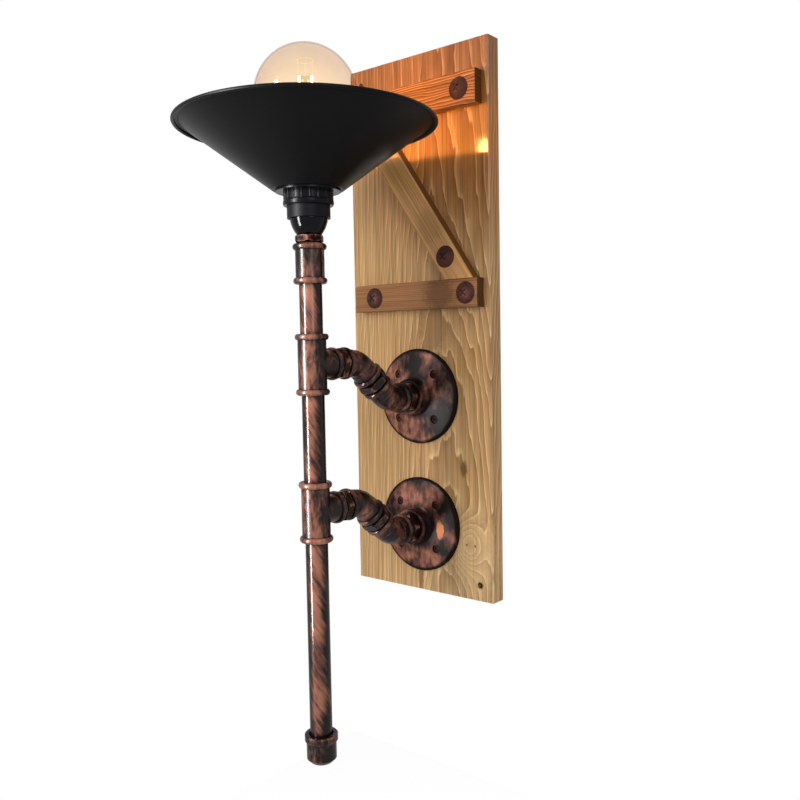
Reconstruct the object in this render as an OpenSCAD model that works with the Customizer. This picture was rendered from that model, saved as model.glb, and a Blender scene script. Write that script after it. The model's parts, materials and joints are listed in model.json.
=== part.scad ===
// Wall light: a pipe-fitting stand on a ledged and braced timber board.
// Millimetres, +Z up. The origin is the centre of the board's back face,
// +Y points into the wall and the light stands out along -Y.

/* [Board] */
// Width of the back board
board_w = 182; // [175:1:260]
// Height of the back board
board_h = 566; // [550:1:700]
// Thickness of the back board
board_t = 18; // [16:1:30]
// Worn edge along the long front corners of board and battens
arris = 1.2; // [0.4:0.1:2]
// Distance of the wall screw holes from the board's side edges
wall_hole_side = 16; // [10:0.5:22]
// Distance of the wall screw holes from the board's top and bottom edges
wall_hole_end = 16.5; // [10:0.5:20]
// Diameter of the wall screw holes
wall_hole_d = 6; // [4:0.5:8]
// Diameter of the cable hole behind the upper flange
cable_hole_d = 16; // [10:0.5:18]

/* [Battens] */
// Length of both battens
batten_len = 161; // [150:1:168]
// Distance of the battens' centres to the right of the board's centre
batten_shift = 2.5; // [-3:0.5:3]
// Thickness of battens and brace
batten_t = 12; // [9:0.5:18]
// Height of the upper batten
upper_batten_h = 32.5; // [28:0.5:36]
// Height of the lower batten
lower_batten_h = 29; // [27:1:36]
// Height of the upper batten's centre above the board's centre
upper_batten_z = 234; // [210:0.5:240]
// Height of the lower batten's centre above the board's centre
lower_batten_z = 33; // [24:0.5:50]
// Width of the diagonal brace
brace_w = 29; // [26:0.5:36]
// Distance of the brace's foot from the lower batten's right end
brace_foot_inset = 5; // [2:0.5:12]
// Distance of the brace's head from the upper batten's left end
brace_head_inset = 4.5; // [3:0.5:12]

/* [Dome screws] */
// Diameter of the domed screw heads
dome_head_d = 22.5; // [16:0.5:24]
// Height of the domed screw heads
dome_head_h = 4.6; // [3:0.2:7]
// Diameter of the dome screws' shanks
dome_shank_d = 5; // [3.5:0.1:6]
// Length of the dome screws' cross recess
dome_recess_len = 9; // [5:0.5:12]
// Width of the dome screws' cross recess
dome_recess_w = 1.6; // [1:0.1:2.4]
// Depth of the dome screws' cross recess
dome_recess_depth = 1.8; // [1:0.1:2.4]
// Depth of the dome screws in the board
dome_screw_bite = 12; // [8:0.5:14]
// Distance of the upper batten's screws from its ends
upper_screw_inset = 19.5; // [13:0.5:30]
// Distance of the lower batten's left screw from its left end
lower_left_inset = 27.5; // [14:0.5:40]
// Distance of the lower batten's right screw from its right end
lower_right_inset = 14; // [13:0.5:30]
// Height of the brace's screws above and below the battens
brace_screw_rise = 23; // [16:0.5:30]

/* [Floor flanges] */
// Diameter of the flanges
flange_d = 101; // [96:1:110]
// Thickness of the flanges at the rim
flange_rim_t = 5; // [4:0.5:7]
// Thickness of the flanges' outer edge
flange_edge_t = 2.4; // [1.5:0.1:3]
// Width of the rounding from the edge to the web
flange_round_w = 4.5; // [2:0.5:6]
// Height of the flanges' web where it meets the hub
flange_web_h = 8; // [7.5:0.5:10]
// Outside diameter of the flanges' hub
flange_hub_d = 33; // [30:0.5:36]
// Diameter of the bead round the hub's mouth
flange_lip_d = 38; // [37:0.5:42]
// Width of the bead round the hub's mouth
flange_lip_w = 5; // [4:0.5:6]
// Height of the flanges over the board
flange_h = 21.2; // [19:0.1:26]
// Diameter of the circle through the flange screws
flange_pcd = 67; // [64:0.5:76]
// Diameter of the flange screws' shanks
flange_shank_d = 4.5; // [3:0.1:5]
// Diameter of the flange screws' heads
flange_head_d = 9; // [7:0.5:10]
// Depth of the flange screws in the board
flange_screw_bite = 11; // [8:0.5:13]
// Height of the upper flange's centre above the board's centre
upper_flange_z = -73; // [-100:0.5:-60]
// Length of the flange screws' cross recess
flange_recess_len = 4.4; // [3:0.2:6]
// Width of the flange screws' cross recess
flange_recess_w = 1; // [0.6:0.1:1.4]
// Depth of the flange screws' cross recess
flange_recess_depth = 1.6; // [0.8:0.1:2]
// Distance between the two flanges
flange_pitch = 138; // [120:0.5:150]

/* [Pipe fittings] */
// Outside diameter of the pipe
pipe_d = 21.3; // [21.1:0.1:22]
// Bore of the pipe
pipe_bore_d = 16; // [14:0.1:17]
// Outside diameter of the pipe thread
thread_d = 20.9; // [20.5:0.1:21]
// Length of thread inside each fitting
thread_len = 13; // [11:0.5:14]
// Radial clearance of the thread in the fittings
thread_clear = 0.05; // [0.02:0.01:0.1]
// Outside diameter of the fittings' bodies
fitting_d = 26.8; // [25.5:0.1:28]
// Diameter of the beads round the fittings' ends
bead_d = 31.5; // [30:0.1:34]
// Width of the beads
bead_w = 5.8; // [5:0.1:8]
// Bore through the middle of the fittings
fitting_bore_d = 17; // [15:0.5:18]
// Distance from a tee's centre to its ends
tee_reach = 28.5; // [26:0.5:34]
// Distance from an elbow's corner to its ends
elbow_reach = 21.5; // [19:0.5:26]
// Radius of the elbows' bend along the centre line
elbow_bend_r = 22; // [20:0.5:24]
// Free length of the hex nipples between two fittings
nipple_gap = 11.4; // [10.5:0.1:16]
// Hex nipple size across the flats
hex_af = 28; // [24:0.5:29]
// Thickness of the nipples' hexagon
hex_t = 8; // [5:0.1:9]
// Distance of the hexagon from the fitting on its outer side
hex_near_gap = 1.2; // [0.5:0.1:2]
// Sideways lean of the two offset arms in degrees
arm_lean = 9; // [0:0.1:20]
// Length of the straight socket
socket_len = 36.9; // [34:0.1:46]
// Width of the socket's two ribs
rib_w = 2.6; // [1.5:0.1:4]
// Height of the socket's two ribs
rib_h = 1; // [0.5:0.1:1.8]

/* [Stem] */
// Free length of pipe between the upper tee and the socket
upper_pipe_len = 45.7; // [30:0.1:80]
// Free length of pipe between the lower tee and the end cap
lower_pipe_len = 185; // [120:0.5:220]
// Height of the end cap
cap_h = 27.2; // [24:0.5:32]
// Outside diameter of the end cap
cap_d = 28.6; // [27:0.1:30]
// Diameter of the end cap's band
cap_band_d = 31.8; // [31:0.1:34]
// Height of the end cap's band
cap_band_h = 6.2; // [4:0.1:8]
// Bevel round the end cap's closed end
cap_bevel = 3.6; // [2:0.1:4]

/* [Lampholder] */
// Height of the bush between socket and lampholder
bush_h = 7.4; // [5:0.1:10]
// Height of the bush's thread that shows over the socket
bush_neck_h = 1.2; // [0.5:0.1:2]
// Size of the bush's hexagon across the flats
bush_af = 24.4; // [22:0.1:27]
// Turn of the bush's hexagon in degrees
bush_turn = 8; // [0:1:59]
// Diameter of the bush's upper thread
bush_stud_d = 10; // [9.5:0.5:11]
// Height of the lampholder's domed cover
cover_h = 15.3; // [13:0.1:18]
// Diameter of the domed cover at its foot
cover_foot_d = 21.6; // [20:0.1:24]
// Largest diameter of the domed cover
cover_d = 36; // [35:0.1:38]
// Wall of the domed cover
cover_wall = 2; // [1.5:0.1:2.5]
// Height of the holder's plain body
holder_h = 11.4; // [10:0.1:16]
// Diameter of the holder's plain body
holder_d = 39.8; // [39.4:0.1:42]
// Diameter of the holder's threaded skirt
skirt_d = 38.8; // [37.8:0.1:39]
// Height of the threaded skirt over the plain body
skirt_h = 29; // [27:0.5:34]
// Wall of the threaded skirt
skirt_wall = 3.2; // [2.6:0.1:3.4]
// Diameter of the shade rings' flanges
ring_flange_d = 60; // [54:0.5:64]
// Thickness of the shade rings' flanges
ring_flange_t = 2; // [1.5:0.1:3]
// Diameter of the shade rings' ribbed collars
ring_collar_d = 44.8; // [44:0.1:46]
// Height of the lower ring's ribbed collar
ring_collar_h = 7.3; // [5:0.1:9]
// Diameter of the lower ring's bead
ring_bead_d = 46.8; // [46.2:0.1:48]
// Height of the lower ring's bead
ring_bead_h = 5.2; // [4:0.1:6]
// Number of ribs round a shade ring
ring_ribs = 18; // [12:1:30]
// Radial clearance of the holder's screwed pieces
screw_clear = 0.1; // [0.05:0.05:0.2]

/* [Shade] */
// Outside diameter of the shade over its lip
shade_d = 240; // [180:1:280]
// Height of the shade
shade_h = 60; // [45:0.5:80]
// Diameter of the shade's flat seat
shade_seat_d = 66; // [62:0.5:76]
// Thickness of the shade's sheet
shade_sheet = 1; // [0.8:0.1:1.5]
// Width of the turned-out lip
shade_lip_w = 5.6; // [4.5:0.1:8]
// Thickness of the rolled edge of the lip
shade_lip_t = 3.2; // [2:0.1:3.6]

/* [Bulb] */
// Diameter of the bulb's globe
globe_d = 95; // [80:1:110]
// Height of the globe's centre over the bulb's glass foot
globe_rise = 63; // [61:0.5:80]
// Diameter of the globe's neck
neck_d = 28.4; // [28:0.1:30]
// Radius of the curve between neck and globe
neck_curve_r = 22; // [18:0.5:26]
// Thickness of the glass
glass_t = 0.9; // [0.6:0.1:1.2]
// Outside diameter of the bulb's screw cap
screw_d = 26.4; // [26:0.1:26.5]
// Pitch of the bulb's screw thread
screw_pitch = 3.629; // [3.4:0.001:3.8]
// Number of turns on the bulb's screw cap
screw_turns = 5; // [4:1:5]
// Radial clearance between the screw cap and its shell
shell_clear = 0.5; // [0.4:0.05:0.7]
// Wall of the screw shell
shell_wall = 0.7; // [0.5:0.05:0.8]
// Gap between the bulb's tip and the centre contact
tip_gap = 0.3; // [0.2:0.05:0.5]
// Length of the glowing filaments
filament_len = 38; // [25:0.5:42]
// Diameter of the filaments
filament_d = 2; // [1.4:0.1:2.4]
// Number of filaments
filament_count = 4; // [3:1:6]
// Height of the filaments' upper ends over the globe's centre
filament_top = 17; // [10:0.5:22]
// Radius of the ring of filaments
filament_ring_r = 8; // [7:0.5:14]

/* [Hidden] */
$fn = 72;

// Overcut that carries a cut clear of a face
over = 1;
wood = [0.72, 0.50, 0.28];
copper = [0.45, 0.28, 0.22];
dark_copper = [0.30, 0.20, 0.17];
rust = [0.26, 0.17, 0.15];
black = [0.10, 0.10, 0.11];
brass = [0.78, 0.62, 0.32];

// Radii used by more than one piece
pipe_r = pipe_d / 2;
thread_r = thread_d / 2;
seat_r = thread_r + thread_clear;
fitting_r = fitting_d / 2;
bead_r = bead_d / 2;
fitting_bore_r = fitting_bore_d / 2;
pipe_bore_r = pipe_bore_d / 2;
// Room past a thread's end inside a fitting
thread_room = 1;
seat_depth = thread_len + thread_room;

// Offset arm: distances along the flange's axis and across it
bend_angle = 45;
diagonal_len = 2 * elbow_reach + nipple_gap;
arm_offset = diagonal_len * sin(bend_angle);
first_bend = flange_h + nipple_gap + elbow_reach;
second_bend = first_bend + diagonal_len * cos(bend_angle);
tee_end = second_bend + elbow_reach + nipple_gap;
arm_reach = tee_end + tee_reach;

// The upright stem
lower_flange_z = upper_flange_z - flange_pitch;
stem_x = -arm_offset * sin(arm_lean);
stem_y = -board_t - arm_reach;
upper_tee_z = upper_flange_z + arm_offset * cos(arm_lean);
lower_tee_z = upper_tee_z - flange_pitch;
middle_pipe_len = flange_pitch - 2 * tee_reach;
cap_mouth_z = lower_tee_z - tee_reach - lower_pipe_len;
socket_z = upper_tee_z + tee_reach + upper_pipe_len;
bush_z = socket_z + socket_len;

// Lampholder levels, from the bush upward
cover_z = bush_z + bush_h;
holder_z = cover_z + cover_h;
skirt_z = holder_z + holder_h;
skirt_top = skirt_z + skirt_h;
ring_h = ring_bead_h + ring_collar_h + ring_flange_t;
shade_z = skirt_z + ring_h;
cavity_r = skirt_d / 2 - skirt_wall;
spigot_h = 5;
block_z = holder_z + spigot_h;
block_h = 9;
shell_z = block_z + block_h;

// Bulb levels, from the centre contact upward
contact_h = 4.6;
tip_z = shell_z + contact_h + tip_gap;
tip_h = 1.4;
tip_r = 4.7;
insulator_z = tip_z + tip_h;
insulator_h = 4.2;
screw_z = insulator_z + insulator_h;
screw_rim = 3;
screw_h = screw_turns * screw_pitch + screw_rim;
foot_z = screw_z + screw_h;
globe_z = foot_z + globe_rise;
globe_r = globe_d / 2;
neck_r = neck_d / 2;
shell_r = screw_d / 2 + shell_clear;
screw_root = 1;

// Brace: its corners lie on the battens' edges, its slope follows from its width
brace_low = lower_batten_z + lower_batten_h / 2;
brace_high = upper_batten_z - upper_batten_h / 2;
batten_right = batten_shift + batten_len / 2;
batten_left = batten_shift - batten_len / 2;
brace_right = batten_right - brace_foot_inset;
brace_left = batten_left + brace_head_inset;
brace_run = brace_right - brace_left;
brace_climb = brace_high - brace_low;
brace_angle = atan2(brace_climb, brace_run) + asin(brace_w / norm([brace_run, brace_climb]));
brace_level_w = brace_w / sin(brace_angle);

// Points of an arc in the plane
function arc(centre, r, from, to, steps) =
    [for (i = [0:steps]) let (a = from + (to - from) * i / steps) centre + r * [cos(a), sin(a)]];

// Angle between the points of a bead's curve
bead_step = 15;

// Rounded bead on a revolved body, from height z upward
function bead(body_r, crown_r, z, width) =
    [for (a = [-90:bead_step:90]) [body_r + (crown_r - body_r) * cos(a), z + width / 2 * (1 + sin(a))]];

// Centre of the brace at a height on the board
function brace_x(z) = brace_right - brace_level_w / 2 - (z - brace_low) / tan(brace_angle);

function dome_spots() = let (low = brace_low + brace_screw_rise, high = brace_high - brace_screw_rise)
    [[batten_left + upper_screw_inset, upper_batten_z],
     [batten_right - upper_screw_inset, upper_batten_z],
     [batten_left + lower_left_inset, lower_batten_z],
     [batten_right - lower_right_inset, lower_batten_z],
     [brace_x(low), low],
     [brace_x(high), high]];

flange_levels = [upper_flange_z, lower_flange_z];
flange_corners = [45, 135, 225, 315];

// Places a child with its local +Z along the wall's normal, out of the board
module off_wall(x, z, y = 0) {
    translate([x, y, z]) rotate([90, 0, 0]) children();
}

// Frame of one offset arm: local +Z leaves the board, local +Y leans with the arm
module arm_at(z) {
    off_wall(0, z, -board_t) rotate([0, 0, arm_lean]) children();
}

// Local +Z along the arm's diagonal run
module along_diagonal() {
    translate([0, 0, first_bend]) rotate([-bend_angle, 0, 0]) children();
}

module on_stem(z) {
    translate([stem_x, stem_y, z]) children();
}

module shank_holes(depth) {
    for (spot = dome_spots())
        off_wall(spot[0], spot[1], -board_t + depth)
            cylinder(d = dome_shank_d + 2 * thread_clear, h = depth + batten_t + over);
}

// Board and battens
module backboard() {
    outline = [[-board_w / 2, 0], [board_w / 2, 0],
        [board_w / 2, arris - board_t], [board_w / 2 - arris, -board_t],
        [arris - board_w / 2, -board_t], [-board_w / 2, arris - board_t]];
    color(wood) difference() {
        translate([0, 0, -board_h / 2]) linear_extrude(board_h) polygon(outline);
        shank_holes(dome_screw_bite);
        for (z = flange_levels, a = flange_corners)
            off_wall(flange_pcd / 2 * cos(a), z + flange_pcd / 2 * sin(a), flange_screw_bite - board_t)
                cylinder(d = flange_shank_d + 2 * thread_clear, h = flange_screw_bite + over);
        for (side = [-1, 1])
            off_wall(side * (board_w / 2 - wall_hole_side), side * (wall_hole_end - board_h / 2), over)
                cylinder(d = wall_hole_d, h = board_t + 2 * over);
        off_wall(0, upper_flange_z, over) cylinder(d = cable_hole_d, h = board_t + 2 * over);
    }
}

// Bar along X with its back on the board and worn long front corners
module bar(length, height) {
    outline = [[0, -height / 2], [0, height / 2], [arris - batten_t, height / 2],
        [-batten_t, height / 2 - arris], [-batten_t, arris - height / 2], [arris - batten_t, -height / 2]];
    rotate([90, 0, 90]) linear_extrude(length, center = true) polygon(outline);
}

module batten(z, height) {
    color(wood) difference() {
        translate([batten_shift, -board_t, z]) bar(batten_len, height);
        shank_holes(over);
    }
}

module upper_batten() batten(upper_batten_z, upper_batten_h);

module lower_batten() batten(lower_batten_z, lower_batten_h);

// Bar between the battens, its ends cut level
module diagonal_brace() {
    middle_z = (brace_low + brace_high) / 2;
    slab = [2 * board_w, 2 * (batten_t + over), brace_climb];
    color(wood) difference() {
        intersection() {
            translate([brace_x(middle_z), -board_t, middle_z]) rotate([0, brace_angle, 0])
                bar(brace_climb / sin(brace_angle) + 2 * brace_w, brace_w);
            translate([0, -board_t, middle_z]) cube(slab, center = true);
        }
        shank_holes(over);
    }
}

// Low domed head with a cross recess on a plain shank
module dome_screw() {
    head_r = dome_head_d / 2;
    crown_r = (pow(head_r, 2) + pow(dome_head_h, 2)) / (2 * dome_head_h);
    edge_angle = asin(head_r / crown_r);
    crown = arc([0, dome_head_h - crown_r], crown_r, 90 - edge_angle, 90, 10);
    difference() {
        rotate_extrude() polygon(concat([[0, 0]], crown));
        for (a = [45, 135])
            translate([0, 0, dome_head_h]) rotate([0, 0, a])
                cube([dome_recess_len, dome_recess_w, 2 * dome_recess_depth], center = true);
    }
    translate([0, 0, -batten_t - dome_screw_bite]) cylinder(d = dome_shank_d, h = batten_t + dome_screw_bite);
}

module dome_screws() {
    color(rust)
        for (spot = dome_spots())
            off_wall(spot[0], spot[1], -board_t - batten_t) dome_screw();
}

// Floor flange: a flat web that sweeps up to a beaded hub, four countersunk holes
module flange(z) {
    root_r = 6;
    hub_r = flange_hub_d / 2;
    rim = [for (a = [0:bead_step:90]) [flange_d / 2 + flange_round_w * (cos(a) - 1),
        flange_edge_t + (flange_rim_t - flange_edge_t) * sin(a)]];
    sweep = arc([hub_r + root_r, flange_web_h + root_r], root_r, 270, 180, 6);
    profile = concat([[fitting_bore_r, 0], [flange_d / 2, 0]], rim, sweep,
        bead(hub_r, flange_lip_d / 2, flange_h - flange_lip_w, flange_lip_w),
        [[seat_r, flange_h], [seat_r, flange_h - seat_depth], [fitting_bore_r, flange_h - seat_depth]]);
    color(copper) off_wall(0, z, -board_t) difference() {
        rotate_extrude() polygon(profile);
        for (a = flange_corners)
            rotate([0, 0, a]) translate([flange_pcd / 2, 0, 0]) flange_screw(thread_clear);
    }
}

module upper_flange() flange(upper_flange_z);

module lower_flange() flange(lower_flange_z);

// Height of the countersunk heads' tops over the board
flange_head_top = flange_rim_t;
flange_head_h = (flange_head_d - flange_shank_d) / 2;

// Countersunk screw; as a cutting tool it is grown by the clearance and runs out of the web
module flange_screw(grow = 0) {
    reach = flange_screw_bite + flange_head_top - flange_head_h;
    outline = [[0, -flange_screw_bite], [flange_shank_d / 2 + grow, -flange_screw_bite],
        [flange_shank_d / 2 + grow, reach - flange_screw_bite], [flange_head_d / 2 + grow, flange_head_top]];
    cap = grow > 0
        ? [[flange_head_d / 2 + grow, flange_h], [0, flange_h]]
        : arc([0, flange_head_top - flange_head_d], norm([flange_head_d, flange_head_d / 2]),
              atan2(flange_head_d, flange_head_d / 2), 90, 4);
    rotate_extrude() polygon(concat(outline, cap));
}

module flange_screws() {
    color(rust)
        for (z = flange_levels, a = flange_corners)
            off_wall(flange_pcd / 2 * cos(a), z + flange_pcd / 2 * sin(a), -board_t) difference() {
                flange_screw();
                for (turn = [a, a + 90])
                    translate([0, 0, flange_head_top + flange_recess_depth / 2]) rotate([0, 0, turn])
                        cube([flange_recess_len, flange_recess_w, 2 * flange_recess_depth], center = true);
            }
}

// Hexagon with the corners of both faces chamfered, from z = 0 to its thickness
hex_chamfer = 30;

module hexagon(across, thickness) {
    corner_r = across / 2 / cos(180 / 6);
    bevel = (corner_r - across / 2) * tan(hex_chamfer);
    drum = [[0, 0], [across / 2, 0], [corner_r, bevel], [corner_r, thickness - bevel],
        [across / 2, thickness], [0, thickness]];
    intersection() {
        cylinder(r = corner_r, h = thickness, $fn = 6);
        rotate_extrude() polygon(drum);
    }
}

// Hex nipple, with the fittings' gap from z = 0 to nipple_gap
module hex_nipple(hex_start) {
    color(dark_copper) difference() {
        union() {
            translate([0, 0, -thread_len]) cylinder(r = thread_r, h = nipple_gap + 2 * thread_len);
            translate([0, 0, hex_start]) hexagon(hex_af, hex_t);
        }
        translate([0, 0, -thread_len - over])
            cylinder(r = pipe_bore_r, h = nipple_gap + 2 * (thread_len + over));
    }
}

// One end of a fitting: body up to a bead, with its end face at z = reach
function end_profile(start, reach) = concat([[0, start], [fitting_r, start]],
    bead(fitting_r, bead_r, reach - bead_w, bead_w), [[0, reach]]);

module end_bore(reach) {
    cylinder(r = fitting_bore_r, h = reach);
    translate([0, 0, reach - seat_depth]) cylinder(r = seat_r, h = seat_depth + over);
}

// Elbow with its corner at the origin, one end down -Z and one along the diagonal.
// The bend is a little slimmer than its ends and runs into them.
module elbow() {
    tangent = elbow_bend_r * tan(bend_angle / 2);
    lap = 0.5;
    waist = 0.3;
    seat_start = min(elbow_reach - seat_depth, tangent - lap);
    color(copper) difference() {
        union() {
            elbow_bend(tangent, fitting_r - waist);
            elbow_ends() rotate_extrude() polygon(end_profile(tangent - lap, elbow_reach));
        }
        elbow_bend(tangent, fitting_bore_r);
        elbow_ends() translate([0, 0, seat_start]) cylinder(r = seat_r, h = elbow_reach - seat_start + over);
    }
}

module elbow_ends() {
    rotate([180, 0, 0]) children();
    rotate([-bend_angle, 0, 0]) children();
}

module elbow_bend(tangent, r) {
    translate([0, elbow_bend_r, -tangent]) rotate([0, -90, 0]) rotate([0, 0, -90])
        rotate_extrude(angle = bend_angle) translate([elbow_bend_r, 0]) circle(r);
}

// Tee with a straight run up and down and its branch towards the board
module tee(z) {
    color(copper) on_stem(z) difference() {
        tee_ends() rotate_extrude() polygon(end_profile(0, tee_reach));
        tee_ends() end_bore(tee_reach);
    }
}

module tee_ends() {
    children();
    rotate([180, 0, 0]) children();
    rotate([-90, 0, 0]) children();
}

// Pipe with its free length from z = 0 and a thread at each end
module pipe(free_len) {
    color(dark_copper) difference() {
        union() {
            cylinder(r = pipe_r, h = free_len);
            translate([0, 0, -thread_len]) cylinder(r = thread_r, h = free_len + 2 * thread_len);
        }
        translate([0, 0, -thread_len - over])
            cylinder(r = pipe_bore_r, h = free_len + 2 * (thread_len + over));
    }
}

// The two offset arms
hex_mid_start = (nipple_gap - hex_t) / 2;
hex_tee_start = nipple_gap - hex_t - hex_near_gap;

module flange_nipple(z) arm_at(z) translate([0, 0, flange_h]) hex_nipple(hex_near_gap);

module inner_elbow(z) arm_at(z) translate([0, 0, first_bend]) elbow();

module middle_nipple(z) arm_at(z) along_diagonal() translate([0, 0, elbow_reach]) hex_nipple(hex_mid_start);

module outer_elbow(z) arm_at(z) translate([0, arm_offset, second_bend]) rotate([180, 0, 0]) elbow();

module tee_nipple(z) arm_at(z) translate([0, arm_offset, tee_end - nipple_gap]) hex_nipple(hex_tee_start);

module upper_flange_nipple() flange_nipple(upper_flange_z);

module upper_inner_elbow() inner_elbow(upper_flange_z);

module upper_middle_nipple() middle_nipple(upper_flange_z);

module upper_outer_elbow() outer_elbow(upper_flange_z);

module upper_tee_nipple() tee_nipple(upper_flange_z);

module lower_flange_nipple() flange_nipple(lower_flange_z);

module lower_inner_elbow() inner_elbow(lower_flange_z);

module lower_middle_nipple() middle_nipple(lower_flange_z);

module lower_outer_elbow() outer_elbow(lower_flange_z);

module lower_tee_nipple() tee_nipple(lower_flange_z);

// The upright stem
module upper_tee() tee(upper_tee_z);

module lower_tee() tee(lower_tee_z);

module upper_pipe() on_stem(upper_tee_z + tee_reach) pipe(upper_pipe_len);

module middle_pipe() on_stem(lower_tee_z + tee_reach) pipe(middle_pipe_len);

module lower_pipe() on_stem(cap_mouth_z) pipe(lower_pipe_len);

// Round cap with a band and a flared mouth
module end_cap() {
    flare = 1.4;
    flare_h = 3;
    cap_r = cap_d / 2;
    step = 0.8;
    profile = [[0, -cap_h], [cap_r - cap_bevel, -cap_h], [cap_r, cap_bevel - cap_h],
        [cap_r, -cap_band_h - step], [cap_band_d / 2, -cap_band_h], [cap_band_d / 2, -step],
        [cap_band_d / 2 - step, 0], [seat_r + flare, 0], [seat_r, -flare_h],
        [seat_r, -seat_depth], [0, -seat_depth]];
    color(copper) on_stem(cap_mouth_z) rotate_extrude() polygon(profile);
}

// Straight socket with a bead at each end and two cast ribs
module top_socket() {
    profile = concat([[seat_r, 0], [fitting_r, 0]], bead(fitting_r, bead_r, 0, bead_w),
        bead(fitting_r, bead_r, socket_len - bead_w, bead_w), [[seat_r, socket_len]]);
    rib_start = fitting_r - rib_h;
    rib_turn = 10;
    color(copper) on_stem(socket_z) {
        rotate_extrude() polygon(profile);
        for (a = [rib_turn, rib_turn + 180])
            rotate([0, 0, a]) translate([rib_start, -rib_w / 2, bead_w / 2])
                cube([2 * rib_h, rib_w, socket_len - bead_w]);
    }
}

// Bush: a hexagon with a thread into the socket and a stud into the cover
module holder_bush() {
    stud_h = cover_wall + 4;
    wire_r = 3.6;
    color(copper) on_stem(bush_z) difference() {
        union() {
            translate([0, 0, -thread_len]) cylinder(r = thread_r, h = thread_len + bush_h);
            translate([0, 0, bush_neck_h]) rotate([0, 0, bush_turn]) hexagon(bush_af, bush_h - bush_neck_h);
            cylinder(d = bush_stud_d, h = bush_h + stud_h);
        }
        translate([0, 0, -thread_len - over])
            cylinder(r = wire_r, h = thread_len + bush_h + stud_h + 2 * over);
    }
}

// Number of steps along the cover's curve
cover_steps = 12;

// Domed cover: an oval curve from the foot to the holder, with a spigot up into it
function cover_curve(inset) =
    let (start = acos((cover_foot_d - 2 * inset) / cover_d), centre = cover_h + spigot_h,
         depth = centre / sin(start))
    [for (i = [0:cover_steps]) let (a = start * (1 - i / cover_steps))
        [(cover_d / 2 - inset) * cos(a), centre - depth * sin(a)]];

module holder_cover() {
    outer = [for (p = cover_curve(0)) if (p[1] < cover_h) p];
    inner = [for (p = cover_curve(cover_wall)) if (p[1] > cover_wall && p[1] < cover_h) p];
    spigot_r = cavity_r - screw_clear;
    top = cover_h + spigot_h;
    rim_r = outer[len(outer) - 1][0];
    profile = concat([[0, 0]], outer, [[rim_r, cover_h], [spigot_r, cover_h], [spigot_r, top],
        [spigot_r - cover_wall, top], [spigot_r - cover_wall, cover_h]],
        [for (i = [1:len(inner)]) inner[len(inner) - i]], [[0, cover_wall]]);
    color(black) on_stem(cover_z) difference() {
        rotate_extrude() polygon(profile);
        translate([0, 0, -over]) cylinder(d = bush_stud_d + 2 * screw_clear, h = cover_wall + 2 * over);
    }
}

// Holder: plain body, threaded skirt and an inward lip at the mouth
module holder_body() {
    lip_h = 2.4;
    mouth_r = shell_r + shell_wall + screw_clear;
    profile = [[cavity_r, holder_z], [holder_d / 2, holder_z], [holder_d / 2, skirt_z],
        [skirt_d / 2, skirt_z], [skirt_d / 2, skirt_top], [mouth_r, skirt_top],
        [mouth_r, skirt_top - lip_h], [cavity_r, skirt_top - lip_h]];
    color(black) on_stem(0) rotate_extrude() polygon(profile);
}

// Insulating block that carries the contacts, on the cover's spigot
module contact_block() {
    bed_r = 5;
    bed_depth = 1;
    color("ivory") on_stem(block_z) difference() {
        cylinder(r = cavity_r - screw_clear, h = block_h);
        translate([0, 0, block_h - bed_depth]) cylinder(r = bed_r, h = bed_depth + over);
        terminal_holes();
    }
}

terminal_x = 8;
terminal_d = 4;
terminal_h = 7;

module terminal_holes() {
    for (side = [-1, 1])
        translate([side * terminal_x, 0, -over])
            cylinder(d = terminal_d + 2 * screw_clear, h = over + terminal_h - terminal_proud);
}

// Length of the terminal screws that stands out under the block
terminal_proud = 3;

module terminal_screws() {
    slot_w = 0.8;
    slot_depth = 1;
    color(brass) on_stem(block_z - terminal_proud)
        for (side = [-1, 1])
            translate([side * terminal_x, 0, 0]) difference() {
                cylinder(d = terminal_d, h = terminal_h);
                cube([terminal_d + over, slot_w, 2 * slot_depth], center = true);
            }
}

// Spring contact: a foot in the block's bed, a pillar and a rounded button
module centre_contact() {
    foot_r = 4.8;
    foot_h = 1;
    pillar_r = 1.6;
    button_r = 3.6;
    button_h = 1.2;
    color(brass) on_stem(shell_z - foot_h) {
        cylinder(r = foot_r, h = foot_h);
        cylinder(r = pillar_r, h = foot_h + contact_h);
        translate([0, 0, foot_h + contact_h - button_h]) cylinder(r = button_r, h = button_h);
    }
}

module screw_shell() {
    color(brass) on_stem(shell_z) difference() {
        cylinder(r = shell_r + shell_wall, h = skirt_top - shell_z);
        translate([0, 0, -over]) cylinder(r = shell_r, h = skirt_top - shell_z + 2 * over);
    }
}

// Depth of the ribs' ends in the bead and flange beside them
rib_root = 1;

// Ribs round a shade ring's collar, rooted in the pieces above and below
module collar_ribs(z, height) {
    rib_d = 2.4;
    for (i = [0:ring_ribs - 1])
        rotate([0, 0, 360 * i / ring_ribs]) translate([ring_collar_d / 2 - rib_d / 4, 0, z])
            cylinder(d = rib_d, h = height);
}

// Lower ring: bead, ribbed collar and the flange that the shade sits on
module lower_shade_ring() {
    bore_r = skirt_d / 2 + screw_clear;
    flange_z = ring_bead_h + ring_collar_h;
    profile = concat([[bore_r, 0]], bead(ring_collar_d / 2, ring_bead_d / 2, 0, ring_bead_h),
        [[ring_collar_d / 2, flange_z], [ring_flange_d / 2, flange_z],
         [ring_flange_d / 2, ring_h], [bore_r, ring_h]]);
    color(black) on_stem(skirt_z) {
        rotate_extrude() polygon(profile);
        collar_ribs(ring_bead_h - rib_root, ring_collar_h + 2 * rib_root);
    }
}

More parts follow.
